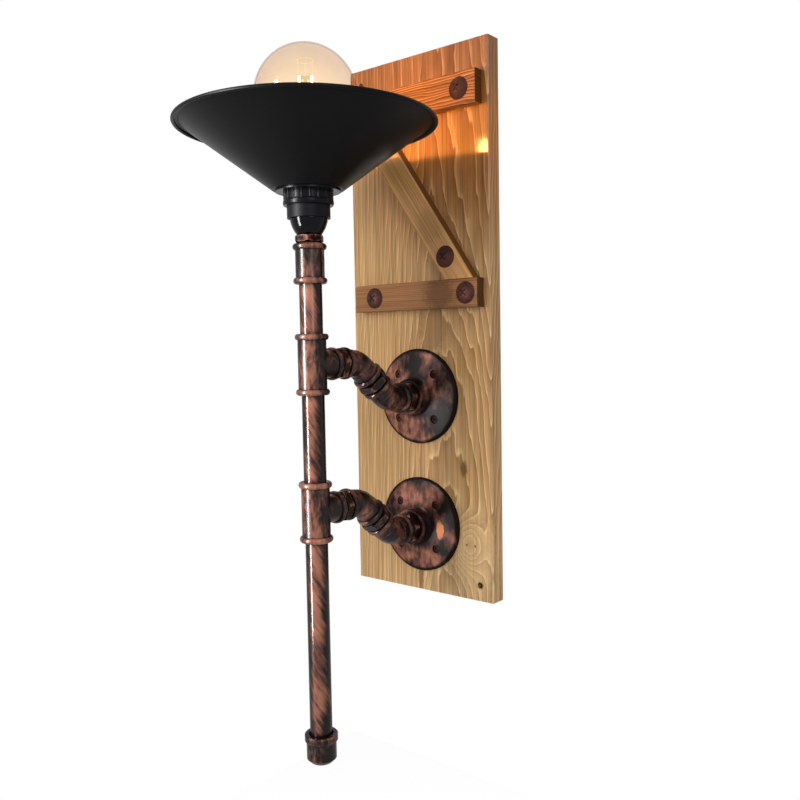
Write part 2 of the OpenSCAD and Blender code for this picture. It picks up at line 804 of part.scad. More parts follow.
// Upper ring: clamps the shade's seat from inside
module upper_shade_ring() {
    bore_r = skirt_d / 2 + screw_clear;
    collar_top = ring_flange_t + ring_collar_h;
    profile = [[bore_r, 0], [ring_flange_d / 2, 0], [ring_flange_d / 2, ring_flange_t],
        [ring_collar_d / 2, ring_flange_t], [ring_collar_d / 2, collar_top], [bore_r, collar_top]];
    color(black) on_stem(shade_z + shade_sheet) {
        rotate_extrude() polygon(profile);
        collar_ribs(ring_flange_t - rib_root, ring_collar_h);
    }
}

// Number of steps round the shade's rolled edge
roll_steps = 16;

// Spun cone with a flat seat and a turned-out lip, whose edge is rolled under
module shade() {
    hole_r = skirt_d / 2 + 4 * screw_clear;
    seat = shade_seat_d / 2;
    cone_r = shade_d / 2 - shade_lip_w;
    slope = atan2(shade_h - shade_sheet, cone_r - seat);
    bend = shade_sheet * tan(slope / 2);
    roll_r = shade_lip_t / 2;
    roll_start = 180 - asin(1 - shade_sheet / roll_r);
    roll = arc([shade_d / 2 - roll_r, shade_h - roll_r], roll_r, roll_start, 450, roll_steps);
    profile = concat([[hole_r, 0], [seat, 0], [cone_r, shade_h - shade_sheet]], roll,
        [[cone_r - bend, shade_h], [seat - bend, shade_sheet], [hole_r, shade_sheet]]);
    color(black) on_stem(shade_z) rotate_extrude() polygon(profile);
}

// Bulb: tip, insulator and screw cap
module tip_contact() {
    color(brass) on_stem(tip_z) cylinder(r1 = tip_r - tip_h / 2, r2 = tip_r, h = tip_h);
}

module cap_insulator() {
    color(black) on_stem(insulator_z)
        cylinder(r1 = tip_r + tip_h, r2 = screw_d / 2 - screw_root - shell_wall, h = insulator_h);
}

module bulb_cap() {
    steps = 8;
    crest_r = screw_d / 2;
    thread = [for (i = [0:screw_turns * steps])
        [crest_r - screw_root * (1 + cos(360 * i / steps)) / 2, i * screw_pitch / steps]];
    inner_r = crest_r - screw_root - shell_wall;
    profile = concat([[inner_r, 0]], thread, [[neck_r, screw_h], [inner_r, screw_h]]);
    color("silver") on_stem(screw_z) rotate_extrude() polygon(profile);
}

// Numbers of steps along the curves of neck and globe
neck_steps = 10;
globe_steps = 29;

// Half outline of the globe, drawn in from the outer face by an inset
function globe_outline(inset) =
    let (curve_r = neck_curve_r + inset, ball_r = globe_r - inset, curve_x = neck_r + neck_curve_r,
         curve_z = globe_rise - sqrt(pow(globe_r + neck_curve_r, 2) - pow(curve_x, 2)),
         meet = atan2(globe_rise - curve_z, curve_x))
    concat([[neck_r - inset, 0]], arc([curve_x, curve_z], curve_r, 180, 180 - meet, neck_steps),
        [for (i = [1:globe_steps]) arc([0, globe_rise], ball_r, -meet, 90, globe_steps)[i]]);

module bulb_glass() {
    inner = globe_outline(glass_t);
    last = len(inner) - 1;
    profile = concat(globe_outline(0), [for (i = [0:last]) inner[last - i]]);
    color([0.95, 0.8, 0.6, 0.4]) on_stem(foot_z) rotate_extrude() polygon(profile);
}

// Glass stem that flares out to the neck and carries the filament frame
stem_rod_r = 3;
stem_top = globe_rise + filament_top - filament_len;

module bulb_stem() {
    flare_r = neck_r - glass_t - screw_clear;
    flare_h = 14;
    flare_curve = flare_r - stem_rod_r;
    flare = [for (a = [0:15:90]) [flare_r - flare_curve * sin(a), flare_h * (1 - cos(a))]];
    color([0.9, 0.9, 0.9, 0.5]) on_stem(foot_z)
        rotate_extrude() polygon(concat([[0, 0]], flare, [[stem_rod_r, stem_top], [0, stem_top]]));
}

// Two star-shaped collectors on a centre rod, one at each end of the filaments
collector_t = 0.8;

module round_filaments() {
    for (i = [0:filament_count - 1])
        rotate([0, 0, 360 * i / filament_count]) children();
}

module collector() {
    round_filaments() translate([0, -filament_d / 2, 0])
        cube([filament_ring_r + filament_d / 2, filament_d, collector_t]);
}

module filament_frame() {
    rod_r = 1.2;
    color(brass) on_stem(foot_z + stem_top) {
        collector();
        cylinder(r = rod_r, h = filament_len + 2 * collector_t);
        translate([0, 0, filament_len + collector_t]) collector();
    }
}

module filaments() {
    color("gold") on_stem(foot_z + stem_top + collector_t) round_filaments()
        translate([filament_ring_r, 0, 0]) cylinder(d = filament_d, h = filament_len, $fn = 24);
}

backboard();
upper_batten();
lower_batten();
diagonal_brace();
dome_screws();
upper_flange();
lower_flange();
flange_screws();
upper_flange_nipple();
upper_inner_elbow();
upper_middle_nipple();
upper_outer_elbow();
upper_tee_nipple();
lower_flange_nipple();
lower_inner_elbow();
lower_middle_nipple();
lower_outer_elbow();
lower_tee_nipple();
upper_tee();
lower_tee();
upper_pipe();
middle_pipe();
lower_pipe();
end_cap();
top_socket();
holder_bush();
holder_cover();
holder_body();
contact_block();
terminal_screws();
centre_contact();
screw_shell();
lower_shade_ring();
upper_shade_ring();
shade();
tip_contact();
cap_insulator();
bulb_cap();
bulb_glass();
bulb_stem();
filament_frame();
filaments();
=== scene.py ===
"""Looks of an up-facing wall light: pipe fittings on a braced board, with a cone shade and a globe bulb."""
import json
import math

import bpy
import numpy as np
from bpy.props import FloatProperty, FloatVectorProperty, IntProperty, PointerProperty
from mathutils import Matrix, Vector

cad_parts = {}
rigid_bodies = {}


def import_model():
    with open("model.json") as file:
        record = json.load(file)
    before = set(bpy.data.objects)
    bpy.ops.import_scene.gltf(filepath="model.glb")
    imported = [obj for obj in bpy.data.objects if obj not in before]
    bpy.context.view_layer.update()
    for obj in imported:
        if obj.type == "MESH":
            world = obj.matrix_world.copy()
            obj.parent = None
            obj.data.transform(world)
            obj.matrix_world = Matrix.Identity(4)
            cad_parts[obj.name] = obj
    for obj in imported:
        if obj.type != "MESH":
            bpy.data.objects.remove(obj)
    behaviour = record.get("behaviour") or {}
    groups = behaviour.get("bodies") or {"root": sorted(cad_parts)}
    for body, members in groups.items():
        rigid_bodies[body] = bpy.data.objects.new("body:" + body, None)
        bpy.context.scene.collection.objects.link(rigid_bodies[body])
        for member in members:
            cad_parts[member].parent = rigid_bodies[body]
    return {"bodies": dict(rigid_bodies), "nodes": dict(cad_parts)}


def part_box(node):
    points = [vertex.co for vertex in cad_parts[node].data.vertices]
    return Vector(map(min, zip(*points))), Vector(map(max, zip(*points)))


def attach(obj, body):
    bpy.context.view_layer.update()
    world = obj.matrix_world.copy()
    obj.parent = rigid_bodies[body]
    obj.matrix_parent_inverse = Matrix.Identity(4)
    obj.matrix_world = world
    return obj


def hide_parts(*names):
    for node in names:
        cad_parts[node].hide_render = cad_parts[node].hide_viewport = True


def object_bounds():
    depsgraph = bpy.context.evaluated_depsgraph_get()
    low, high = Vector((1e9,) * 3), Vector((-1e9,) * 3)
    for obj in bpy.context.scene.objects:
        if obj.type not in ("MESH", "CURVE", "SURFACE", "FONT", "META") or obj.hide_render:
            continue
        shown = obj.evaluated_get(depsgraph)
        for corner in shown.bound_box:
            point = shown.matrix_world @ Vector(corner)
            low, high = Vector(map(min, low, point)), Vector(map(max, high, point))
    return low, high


bl_info = {
    "name": "Pipe-fitting wall light",
    "version": (1, 0, 0),
    "blender": (4, 5, 0),
    "location": "3D View > Sidebar > Wall light",
    "description": "Dresses the wall light in stained pine, rubbed copper, black enamel and lit glass",
    "category": "Object",
}

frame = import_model()
CAD_BOX = [list(corner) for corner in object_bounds()]


def middle(node):
    """Centre of a CAD node's box."""
    low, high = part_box(node)
    return (low + high) / 2


# Places and sizes of the solids, in metres.
STEM = middle("lower_pipe")
BOARD_LOW, BOARD_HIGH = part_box("backboard")
SHADE_LOW, SHADE_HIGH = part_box("shade")
GLASS_LOW, GLASS_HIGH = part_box("bulb_glass")
WIRE_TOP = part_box("filament_frame")[1].z
GLOBE_R = 0.0475
GLOBE_CENTRE = Vector((STEM.x, STEM.y, GLASS_HIGH.z - GLOBE_R))
BRACE_WIDTH = 0.029

UPRIGHT, OUTWARD = (0.0, 0.0, 1.0), (0.0, -1.0, 0.0)
WHITE = (1.0, 1.0, 1.0)
MM_PER_M = 1000

# Steps of the spun surfaces, and the radius below which a point lies on their axis.
CURVE_STEPS, BALL_STEPS, WIRE_STEPS = 24, 72, 12
GLOBE_SEGMENTS, CAGE_SEGMENTS, ROD_SEGMENTS = 128, 48, 8
NEAR_AXIS = 1e-7

# Noise scales of the timber per metre: twice across the grain, then along it.
GRAIN = {"slow": (11, 11, 2.8), "fibre": (620, 620, 9), "streak": (150, 150, 2.6),
         "vein": (330, 330, 5), "blotch": (15, 15, 4), "wobble": (80, 80, 16)}
# Turns of a ring that full streaks and full blotches push it along.
STREAK_PUSH, BLOTCH_PUSH = 0.5, 1.6
# Shares of the stain's red, green and blue in the brown of the late wood.
LATE_WOOD = (0.46, 0.36, 0.28)
# Cosines between which a face comes to be turned towards a direction, and how far it then darkens: the end
# grain by more stain and painted shade, the edge face by painted shade alone.
TURNED = (0.75, 0.95)
END_STAIN_AND_SHADE, SHADED_EDGE_DARKNESS = 0.88, 0.95
VARNISH = {"Coat_Weight": 0.34, "Coat_Roughness": 0.115}

# The knot's place, and how far the rings about it shift, flatten, spread and swell.
KNOT = (0.064, BOARD_LOW.y, -0.2265)
KNOT_SHIFT, KNOT_FLAT, KNOT_SPREAD, KNOT_SWELL = 0.004, 0.7, 0.017, 0.026
# Marks on the timber: x, z, half width and half height in metres, and the share of stain or paleness; the
# marks in the wall holes, across the lower batten and on the brace are painted shade and painted shadows.
CORNER_MARK = (0.068, -0.236, 0.030, 0.055, -0.35)
SPECK_MARKS = [(KNOT[0] + side * 0.0052, KNOT[2], 0.0016, 0.0019, 0.95) for side in (-1, 1)]
# Painted shade inside the two wall holes.
HOLE_SHADE_MARKS = [(side * 0.075, -side * 0.2665, 0.0046, 0.0046, 0.95) for side in (-1, 1)]
SCAR_MARK = (0.0561, -0.147, 0.0056, 0.0105, 0.9)
# Darker patch below the lower batten, right of the middle.
BELOW_BATTEN_MARK = (0.018, -0.002, 0.022, 0.036, 0.45)
FOOT_MARK = (-0.0020, -0.268, 0.0042, 0.026, 0.8)
# Painted shadow across the lower batten.
BATTEN_SHADOW_MARK = (0.036, 0.034, 0.023, 0.022, 0.62)
# Painted shadow of the shade on the middle of the brace.
BRACE_SHADOW_MARK = (0.0263, 0.104, 0.022, 0.024, 0.3)
# Tint stops of the board at shares of its height, and the places between which they come in from the left;
# besides stain, the dark stop at 0.77 is painted shade below the shade's shadow line and the orange stops
# above it are the bulb's glow painted in.
BOARD_TINTS_AND_PAINTED_LIGHT = ((0.03, (1.08, 1.12, 1.2)), (0.16, (1.08, 1.07, 1.08)), (0.36, (1.0, 0.96, 0.9)),
               (0.62, (0.98, 0.94, 0.89)), (0.77, (0.80, 0.56, 0.46)), (0.82, (0.88, 0.56, 0.28)),
               (0.87, (0.86, 0.54, 0.28)), (0.96, (0.55, 0.37, 0.32)))
TINT_LEFT, TINT_RIGHT = -0.075, 0.0

# Amounts of copper at which the ground, the brown, the copper and the bright copper show.
COVER_STOPS = (0.33, 0.46, 0.59, 0.76)
# Turn and narrowing of the scuffs where they lie free and where they wind round the stem.
FREE_SCUFFS, WOUND_SCUFFS = ((0.5, 0.4, 0.0), 0.35), ((0.0, 0.0, 0.0), 0.2)
# How many times finer and more twisted the scuffs are than the patches.
SCUFF_FINENESS, SCUFF_TWIST = 6, 2.4
# Turn of the two painted-shade bands round the stem, which leave the sides seen from the camera darker, and
# reach of the dark hollows, which also take painted shade, and of the bright ridges.
SHADE_LOBE_TURN = math.radians(57)
HOLLOW_SHADE_REACH, RIDGE_REACH, REACH_SAMPLES = 0.006, 0.002, 8
# Copper that a full hollow loses, partly to its dark ground and partly as painted shade, and the step from
# one node's noise to the next one's.
GRIME_AND_SHADE, SEED_STEP = 0.5, 1.7
# Directions of the arms' middle nipples: turn of the arm about the depth, and bend of its elbows.
ARM_LEAN, ELBOW_BEND = math.radians(9), math.radians(45)
# Copper added at distances in metres from a fitting's axis.
BEAD_WEAR = ((0.0, 0.0), (0.0134, -0.04), (0.0144, 0.04), (0.0158, 0.08), (0.0175, 0.0), (0.02, -0.07))
THREAD_WEAR = ((0.0, -0.3), (0.0112, -0.3), (0.0125, -0.1), (0.0146, -0.06), (0.0158, 0.08))
# Painted shade in the recess round a flange's hub.
HUB_SHADE = ((0.0, 0.0), (0.016, 0.0), (0.02, -0.1), (0.026, 0.0))
# Copper added at shares of a flange's radius.
RIM_DARKENING = ((0.91, 0.0), (0.98, -0.2))
# Lighter and darker places of the flanges: x, z and radius in millimetres about the centre, and copper added.
FLANGE_PATCHES = {
    "upper_flange": ((-9, -35, 17, 0.17), (-31, -31, 13, 0.06), (-37, 28, 15, 0.04), (-14, 36, 12, -0.02),
                     (13, 7, 9, 0.1), (30, 30, 30, -0.10), (44, -12, 24, -0.13), (26, -34, 14, -0.10)),
    "lower_flange": ((-16, 34, 19, 0.07), (9, -41, 15, 0.02), (24, 30, 16, -0.05), (46, 6, 16, -0.16),
                     (20, -22, 12, -0.14)),
}
# Bare place on the lower flange: x and z from its centre, half width, half height and softness.
BARE_PLACE = (0.0298, -0.0022, 0.0048, 0.0105, 0.25)
# Copper added all over each piece of the stem.
TEE_RUBS = {"upper_tee": -0.05, "lower_tee": 0.0, "top_socket": -0.19}
PIPE_RUBS = {"upper_pipe": -0.1, "middle_pipe": -0.11, "lower_pipe": -0.152}

# Strengths of the glowing wires and of the haze in the globe: the filaments glow as the light's source, while
# the frame, the cage, the stem and the haze are painted glow.
FILAMENT_GLOW, CAGE_GLOW, FRAME_GLOW, HAZE_GLOW = 7.0, 1.1, 0.7, 0.13
# Share of the surroundings that the globe mirrors head-on, what is added along its wall, and how steeply.
MIRROR_BASE, MIRROR_GAIN, MIRROR_POWER = 0.004, 0.15, 5.0

# Place and size of each lamp of the stage in metres, and what they face.
KEY_LAMP = ((-0.50, -1.75, 0.36), (0.5, 1.5))
SIDE_LAMP = ((1.55, -1.05, 0.50), (0.7, 1.1))
STRIP_LAMP = ((-0.52, -1.50, 0.0), (0.30, 1.6))
LAMP_TARGET = Vector((0.0, -0.1, -0.05))
# Half the floor's width in metres, its colour and the light that lifts it to white.
FLOOR_HALF, FLOOR_COLOUR, FLOOR_LIFT = 1.6, (0.85, 0.85, 0.85), 0.6
# Camera of the photograph: place in metres, then heading, dip and roll in degrees.
CAMERA_PLACE = (0.54301, -0.71914, -0.01910)
CAMERA_TURNS = (39.12, 3.73, -1.01)
# Lens and sensor in millimetres, and the nearest distance in sight in metres.
CAMERA_LENS, CAMERA_SENSOR, CAMERA_NEAR = 37.33, 36.0, 0.01


def srgb(red, green, blue):
    """Linear colour of a display colour given in steps of 255."""
    share = np.array([red, green, blue]) / 255
    linear = np.where(share <= 0.04045, share / 12.92, ((share + 0.055) / 1.055) ** 2.4)
    return tuple(float(c) for c in linear)


def tone(label, text, *steps):
    """Colour property with a default in display steps."""
    return FloatVectorProperty(name=label, description=text, subtype="COLOR", size=3, min=0, max=1,
                               default=srgb(*steps))


def length(label, text, metres):
    """Length property with a default in metres."""
    return FloatProperty(name=label, description=text, default=metres, min=0, unit="LENGTH")


def power(label, text, watts):
    """Power property with a default in watts."""
    return FloatProperty(name=label, description=text, default=watts, min=0, unit="POWER")


class TimberSettings(bpy.types.PropertyGroup):
    """Stained pine of board, battens and brace."""
    board_tone: tone("Board", "Stain colour of the back board", 204, 162, 110)
    batten_tone: tone("Lower batten", "Stain colour of the lower batten", 172, 118, 74)
    lit_tone: tone("Upper batten", "Stain colour of the upper batten", 182, 112, 50)
    brace_tone: tone("Brace", "Stain colour of the brace", 202, 150, 92)
    line_tone: tone("Growth lines", "Pale lines that the stain leaves on the growth rings", 236, 200, 146)
    ring_spacing: length("Ring spacing", "Distance between two growth rings", 0.0043)


class CopperSettings(bpy.types.PropertyGroup):
    """Copper paint rubbed over a dark ground."""
    ground_tone: tone("Ground", "Dark colour under the copper", 24, 15, 14)
    brown_tone: tone("Brown", "Colour of the thinly rubbed copper", 88, 56, 47)
    copper_tone: tone("Copper", "Colour of the rubbed copper", 151, 98, 80)
    bright_tone: tone("Bright copper", "Colour of the copper on the most rubbed places", 182, 123, 98)
    bare_tone: tone("Bare copper", "Colour of the bare place on the lower flange", 206, 126, 76)
    rust_tone: tone("Rust", "Colour of the screw heads", 80, 52, 46)


class ShadeSettings(bpy.types.PropertyGroup):
    """Spun cone shade."""
    paint_tone: tone("Paint", "Satin black of the shade", 12, 12, 13)
    sheet: length("Sheet", "Thickness of the shade's sheet", 0.001)
    seat_radius: length("Seat", "Radius of the flat seat", 0.033)
    hole_radius: length("Hole", "Radius of the hole round the lampholder", 0.0198)
    lip_width: length("Lip width", "Width of the turned-out lip", 0.0056)
    lip_thickness: length("Lip thickness", "Thickness of the edge that is rolled under", 0.0032)
    segments: IntProperty(name="Segments", description="Steps round the shade", default=256, min=32,
                          max=512)


class BulbSettings(bpy.types.PropertyGroup):
    """Lit globe bulb."""
    glass_tone: tone("Glass", "Tint of one layer of the globe's glass", 249, 241, 233)
    rim_tone: tone("Glass edge", "Tint of the glass where it is seen along its wall", 211, 202, 196)
    glow_tone: tone("Glow", "Colour of the glowing wires", 255, 228, 150)
    lamp_tone: tone("Lamp", "Colour of the light that leaves the globe", 255, 205, 110)
    lamp_power: power("Power", "Power of the lamp inside the globe", 2.0)
    lamp_radius: length("Lamp radius", "Radius of the lamp inside the globe", 0.0095)
    filament_side: length("Filament side", "Distance of the brightest filament from the bulb's axis", 0.003)
    filament_rise: length("Filament rise", "Height of the brightest filament in the globe", 0.008)
    neck_radius: length("Neck", "Radius of the glass neck", 0.0142)
    neck_curve: length("Neck curve", "Radius of the curve between neck and globe", 0.022)
    glass_wall: length("Wall", "Thickness of the glass", 0.0009)
    cage_rise: length("Cage rise", "Height of the wire cage over the filament frame", 0.0145)
    cage_radius: length("Cage radius", "Radius of the wire cage", 0.0078)
    wire_radius: length("Wire", "Radius of the cage's wire", 0.00022)


class StageSettings(bpy.types.PropertyGroup):
    """Floor, lamps and camera."""
    floor_drop: length("Floor drop", "Distance of the floor below the light", 1.1)
    key_power: power("Key", "Power of the tall soft lamp on the left", 17.0)
    side_power: power("Side", "Power of the soft lamp on the right", 12.0)
    strip_power: power("Strip", "Power of the narrow lamp that only glossy surfaces mirror", 150.0)
    fill: FloatProperty(name="Fill", description="Strength of the white surroundings", default=0.38,
                        min=0, max=1, subtype="FACTOR")


class Finish:
    """Node material under construction, with its Principled shader."""

    def __init__(self, name):
        self.material = bpy.data.materials.new(name)
        self.material.use_nodes = True
        self.nodes = self.material.node_tree.nodes
        self.shader = self.nodes["Principled BSDF"]
        self.place = self.add("ShaderNodeTexCoord").outputs["Object"]

    def add(self, kind, inputs=(), **settings):
        """New node; inputs maps a socket's name or number to a value or another socket."""
        node = self.nodes.new(kind)
        for key, value in settings.items():
            setattr(node, key, value)
        for key, value in dict(inputs).items():
            self.put(node.inputs[key], value)
        return node

    def put(self, socket, value):
        """Links another socket to a socket, or sets its value."""
        if isinstance(value, bpy.types.NodeSocket):
            self.material.node_tree.links.new(value, socket)
        elif socket.type == "RGBA" and len(value) == 3:
            socket.default_value = (*value, 1)
        else:
            socket.default_value = value

    def set(self, **values):
        """Sets the shader's own sockets, named with underscores for spaces."""
        for key, value in values.items():
            self.put(self.shader.inputs[key.replace("_", " ")], value)

    def surface(self, shader):
        """Gives the material another shader than the Principled one."""
        self.put(self.nodes["Material Output"].inputs["Surface"], shader.outputs[0])

    def math(self, operation, *values):
        """Result of a Math node."""
        return self.add("ShaderNodeMath", enumerate(values), operation=operation).outputs[0]

    def vector(self, operation, *values):
        """Result of a Vector Math node."""
        node = self.add("ShaderNodeVectorMath", enumerate(values), operation=operation)
        return node.outputs["Value" if operation in ("LENGTH", "DISTANCE", "DOT_PRODUCT") else "Vector"]

    def parts(self, source=None):
        """X, Y and Z of a place."""
        return self.add("ShaderNodeSeparateXYZ", {0: source or self.place}).outputs

    def moved(self, scale=(1, 1, 1), turn=(0, 0, 0), shift=(0, 0, 0), source=None):
        """Object coordinates, or another source, scaled, turned and shifted."""
        inputs = {"Vector": source or self.place, "Scale": scale, "Rotation": turn, "Location": shift}
        return self.add("ShaderNodeMapping", inputs).outputs["Vector"]

    def wound(self, twist):
        """Object coordinates turned about the stem by an angle that grows with the height."""
        angle = self.math("MULTIPLY", self.parts()["Z"], twist)
        inputs = {"Vector": self.place, "Center": tuple(STEM), "Angle": angle}
        return self.add("ShaderNodeVectorRotate", inputs, rotation_type="Z_AXIS").outputs["Vector"]

    def noise(self, source, scale=1.0, detail=3.0, rough=0.5, colour=False):
        """Noise as a grey value, or as a colour of three independent values."""
        inputs = {"Vector": source, "Scale": scale, "Detail": detail, "Roughness": rough}
        return self.add("ShaderNodeTexNoise", inputs).outputs["Color" if colour else "Fac"]

    def ramp(self, factor, *stops):
        """Colour or grey ramp; a stop is a place and a grey value or a colour."""
        node = self.add("ShaderNodeValToRGB", {"Fac": factor})
        points = node.color_ramp.elements
        while len(points) < len(stops):
            points.new(0.5)
        for point, (place, value) in zip(points, stops):
            point.position = place
            point.color = (value,) * 3 + (1,) if isinstance(value, (int, float)) else (*value, 1)
        return node.outputs["Color"]

    def between(self, factor, low, high):
        """Nought up to the low value, one from the high value, and even in between."""
        return self.ramp(factor, (low, 0.0), (high, 1.0))

    def span(self, value, low, high, start=0.0):
        """The start value at the low value, one at the high value, and even in between."""
        inputs = {"Value": value, "From Min": low, "From Max": high, "To Min": start}
        return self.add("ShaderNodeMapRange", inputs).outputs["Result"]

    def mix(self, factor, first, second, blend="MIX"):
        """Mix of two colours; each is a socket or a colour."""
        node = self.add("ShaderNodeMix", data_type="RGBA", blend_type=blend)
        sockets = [s for s in node.inputs if s.enabled]
        for socket, value in zip(sockets, (factor, first, second)):
            self.put(socket, value)
        return next(s for s in node.outputs if s.enabled)

    def hypotenuse(self, first, second):
        """Root of the sum of two squares."""
        squares = [self.math("POWER", side, 2.0) for side in (first, second)]
        return self.math("SQRT", self.math("ADD", *squares))

    def bell(self, away):
        """Bell curve: e to the power of minus the square of a distance."""
        return self.math("EXPONENT", self.math("MULTIPLY", self.math("POWER", away, 2.0), -1.0))

    def oval(self, x, z, half_width, half_height, soft=0.5, ragged=0.8, pitch=240.0):
        """One inside an upright oval, nought outside it, with a soft and slightly ragged edge."""
        at = self.parts(self.moved(scale=(1 / half_width, 0, 1 / half_height),
                                   shift=(-x / half_width, 0, -z / half_height)))
        away = self.hypotenuse(at["X"], at["Z"])
        frayed = self.math("MULTIPLY_ADD", self.noise(self.place, scale=pitch), ragged, -ragged / 2)
        return self.ramp(self.math("ADD", away, frayed), (1 - soft, 1.0), (1.0, 0.0))

    def bump(self, height, strength, depth=0.0004):
        """Fine relief of the surface, with its depth in metres."""
        normal = self.add("ShaderNodeBump", {"Height": height, "Strength": strength, "Distance": depth})
        self.put(self.shader.inputs["Normal"], normal.outputs["Normal"])


def dark(colour, factor):
    """Colour times a factor."""
    return tuple(c * factor for c in colour)


def pine(name, stain, line, spacing, *, sway, bands, lines, turn=0.0, pith=(0.035, 0.05), tilt=0.07,
         seed=0.0, wave=0.7, lively=0.0, tints_and_light=None, knot=None, marks=(), edge=None):
    """Stained pine, its grain turned from upright. Growth rings are the fraction of the distance to a tilted
    pith line, divided by the spacing. Slow noise lets them sway, finer noise lets them wave, and a knot
    swells them. Each ring darkens to a brown band, more so to the right where it is lively, and ends in a
    pale line. Fibres, veins and streaks are noise stretched along the grain. Height tint stops lie at shares
    of the board's height and fade out to the left below its top; besides stain they hold painted shade under
    the shade's shadow line and painted orange glow of the bulb above it. Marks are ovals of dark stain, or
    pale ones where their share is negative; some dark ones are painted shadows and painted shade in the wall
    holes. The ends of the grain took more stain and are painted darker still as shade, and faces towards an
    edge direction are painted darker as shade."""
    f = Finish(name)
    grain = f.moved(turn=(0, turn, 0))

    def strand(kind, shift, **more):
        """Noise stretched along the grain."""
        return f.noise(f.moved(scale=GRAIN[kind], shift=shift, source=grain), **more)

    slow = strand("slow", (seed, 0, seed), detail=4.0, colour=True)
    drift = f.vector("SCALE", f.vector("SUBTRACT", slow, (0.5, 0.5, 0.5)))
    drift.node.inputs["Scale"].default_value = sway
    bent = f.parts(f.vector("ADD", grain, drift))
    across = f.math("SUBTRACT", bent["X"], pith[0])
    depth = f.math("SUBTRACT", bent["Y"], f.math("MULTIPLY_ADD", bent["Z"], tilt, pith[1]))
    radius = f.hypotenuse(across, depth)
    if knot:
        centre = (knot[0] - KNOT_SHIFT, knot[1], knot[2] * KNOT_FLAT)
        gap = f.vector("DISTANCE", f.moved(scale=(1, 1, KNOT_FLAT)), centre)
        radius = f.math("MULTIPLY_ADD", f.bell(f.math("DIVIDE", gap, KNOT_SPREAD)), KNOT_SWELL, radius)
    fibre = strand("fibre", (0, 0, seed), detail=4.0, rough=0.6)
    streak = strand("streak", (seed, 0, 0), detail=4.0)
    vein = strand("vein", (0, seed, 0))
    blotch = strand("blotch", (seed, seed, 0), detail=4.0)
    wobble = strand("wobble", (seed, 0, 0))
    feather = f.math("MULTIPLY_ADD", wobble, wave, f.math("MULTIPLY", streak, STREAK_PUSH))
    push = f.math("MULTIPLY_ADD", blotch, BLOTCH_PUSH, feather)
    ring = f.math("FRACT", f.math("ADD", f.math("DIVIDE", radius, spacing), push))
    pale = f.ramp(ring, (0.0, 0.0), (0.02, 1.0), (0.07, 0.7), (0.16, 0.1), (0.5, 0.0), (1.0, 0.0))
    band = f.ramp(ring, (0.0, 0.3), (0.05, 0.0), (0.3, 0.15), (0.7, 0.5), (0.97, 1.0), (1.0, 0.3))
    rich = f.math("MULTIPLY_ADD", f.parts()["X"], lively, 0.5)
    rich.node.use_clamp = True
    brown = tuple(c * share for c, share in zip(stain, LATE_WOOD))
    body = f.mix(f.between(blotch, 0.32, 0.66), dark(stain, 1.1), dark(stain, 0.82))
    body = f.mix(f.math("MULTIPLY", band, f.math("MULTIPLY_ADD", rich, bands, bands * 0.5)), body, brown)
    thread = line
    # Height tint: stain, plus painted shade under the shade's shadow line and painted orange glow of the bulb
    # above it.
    if tints_and_light:
        height = f.span(f.parts()["Z"], BOARD_LOW.z, BOARD_HIGH.z)
        side = f.span(f.parts()["X"], TINT_LEFT, TINT_RIGHT, start=0.25)
        side = f.math("MAXIMUM", side, f.between(height, 0.8, 0.92))
        tint = f.ramp(f.math("MULTIPLY_ADD", f.math("SUBTRACT", streak, 0.5), 0.12, height), *tints_and_light)
        body = f.mix(side, body, f.mix(1.0, body, tint, "MULTIPLY"))
        thread = f.mix(f.math("MULTIPLY", side, 0.75), line, f.mix(1.0, line, tint, "MULTIPLY"))
    drawn = f.ramp(streak, (0.35, lines * 0.45), (0.6, lines))
    body = f.mix(f.math("MULTIPLY", pale, drawn), body, thread)
    for strands, *stops in ((streak, (0.3, 0.86), (0.5, 1.0), (0.7, 1.06)),
                            (vein, (0.32, 0.8), (0.48, 1.0), (0.66, 1.1)),
                            (fibre, (0.3, 0.64), (0.52, 1.0), (0.75, 1.12))):
        body = f.mix(1.0, body, f.ramp(strands, *stops), "MULTIPLY")
    for *place, share in marks:
        stained = f.math("MULTIPLY", f.oval(*place), abs(share))
        body = f.mix(stained, body, dark(brown, 0.7) if share > 0 else line)
    facing = f.add("ShaderNodeNewGeometry").outputs["Normal"]
    along = (-math.sin(turn), 0.0, math.cos(turn))
    end = f.math("ABSOLUTE", f.vector("DOT_PRODUCT", facing, along))
    # End grain darker: more stain, and painted shade as well.
    body = f.mix(f.ramp(end, (TURNED[0], 0.0), (TURNED[1], END_STAIN_AND_SHADE)), body, dark(stain, 0.13))
    # Painted shade on faces turned towards the edge direction.
    if edge:
        turned = f.vector("DOT_PRODUCT", facing, edge)
        body = f.mix(f.ramp(turned, (TURNED[0], 0.0), (TURNED[1], SHADED_EDGE_DARKNESS)), body, dark(brown, 0.4))
    f.set(Base_Color=body, Roughness=f.ramp(fibre, (0.2, 0.62), (0.8, 0.48)), Specular_IOR_Level=0.0,
          **VARNISH)
    f.bump(f.mix(0.5, fibre, pale), 0.2)
    return f.material


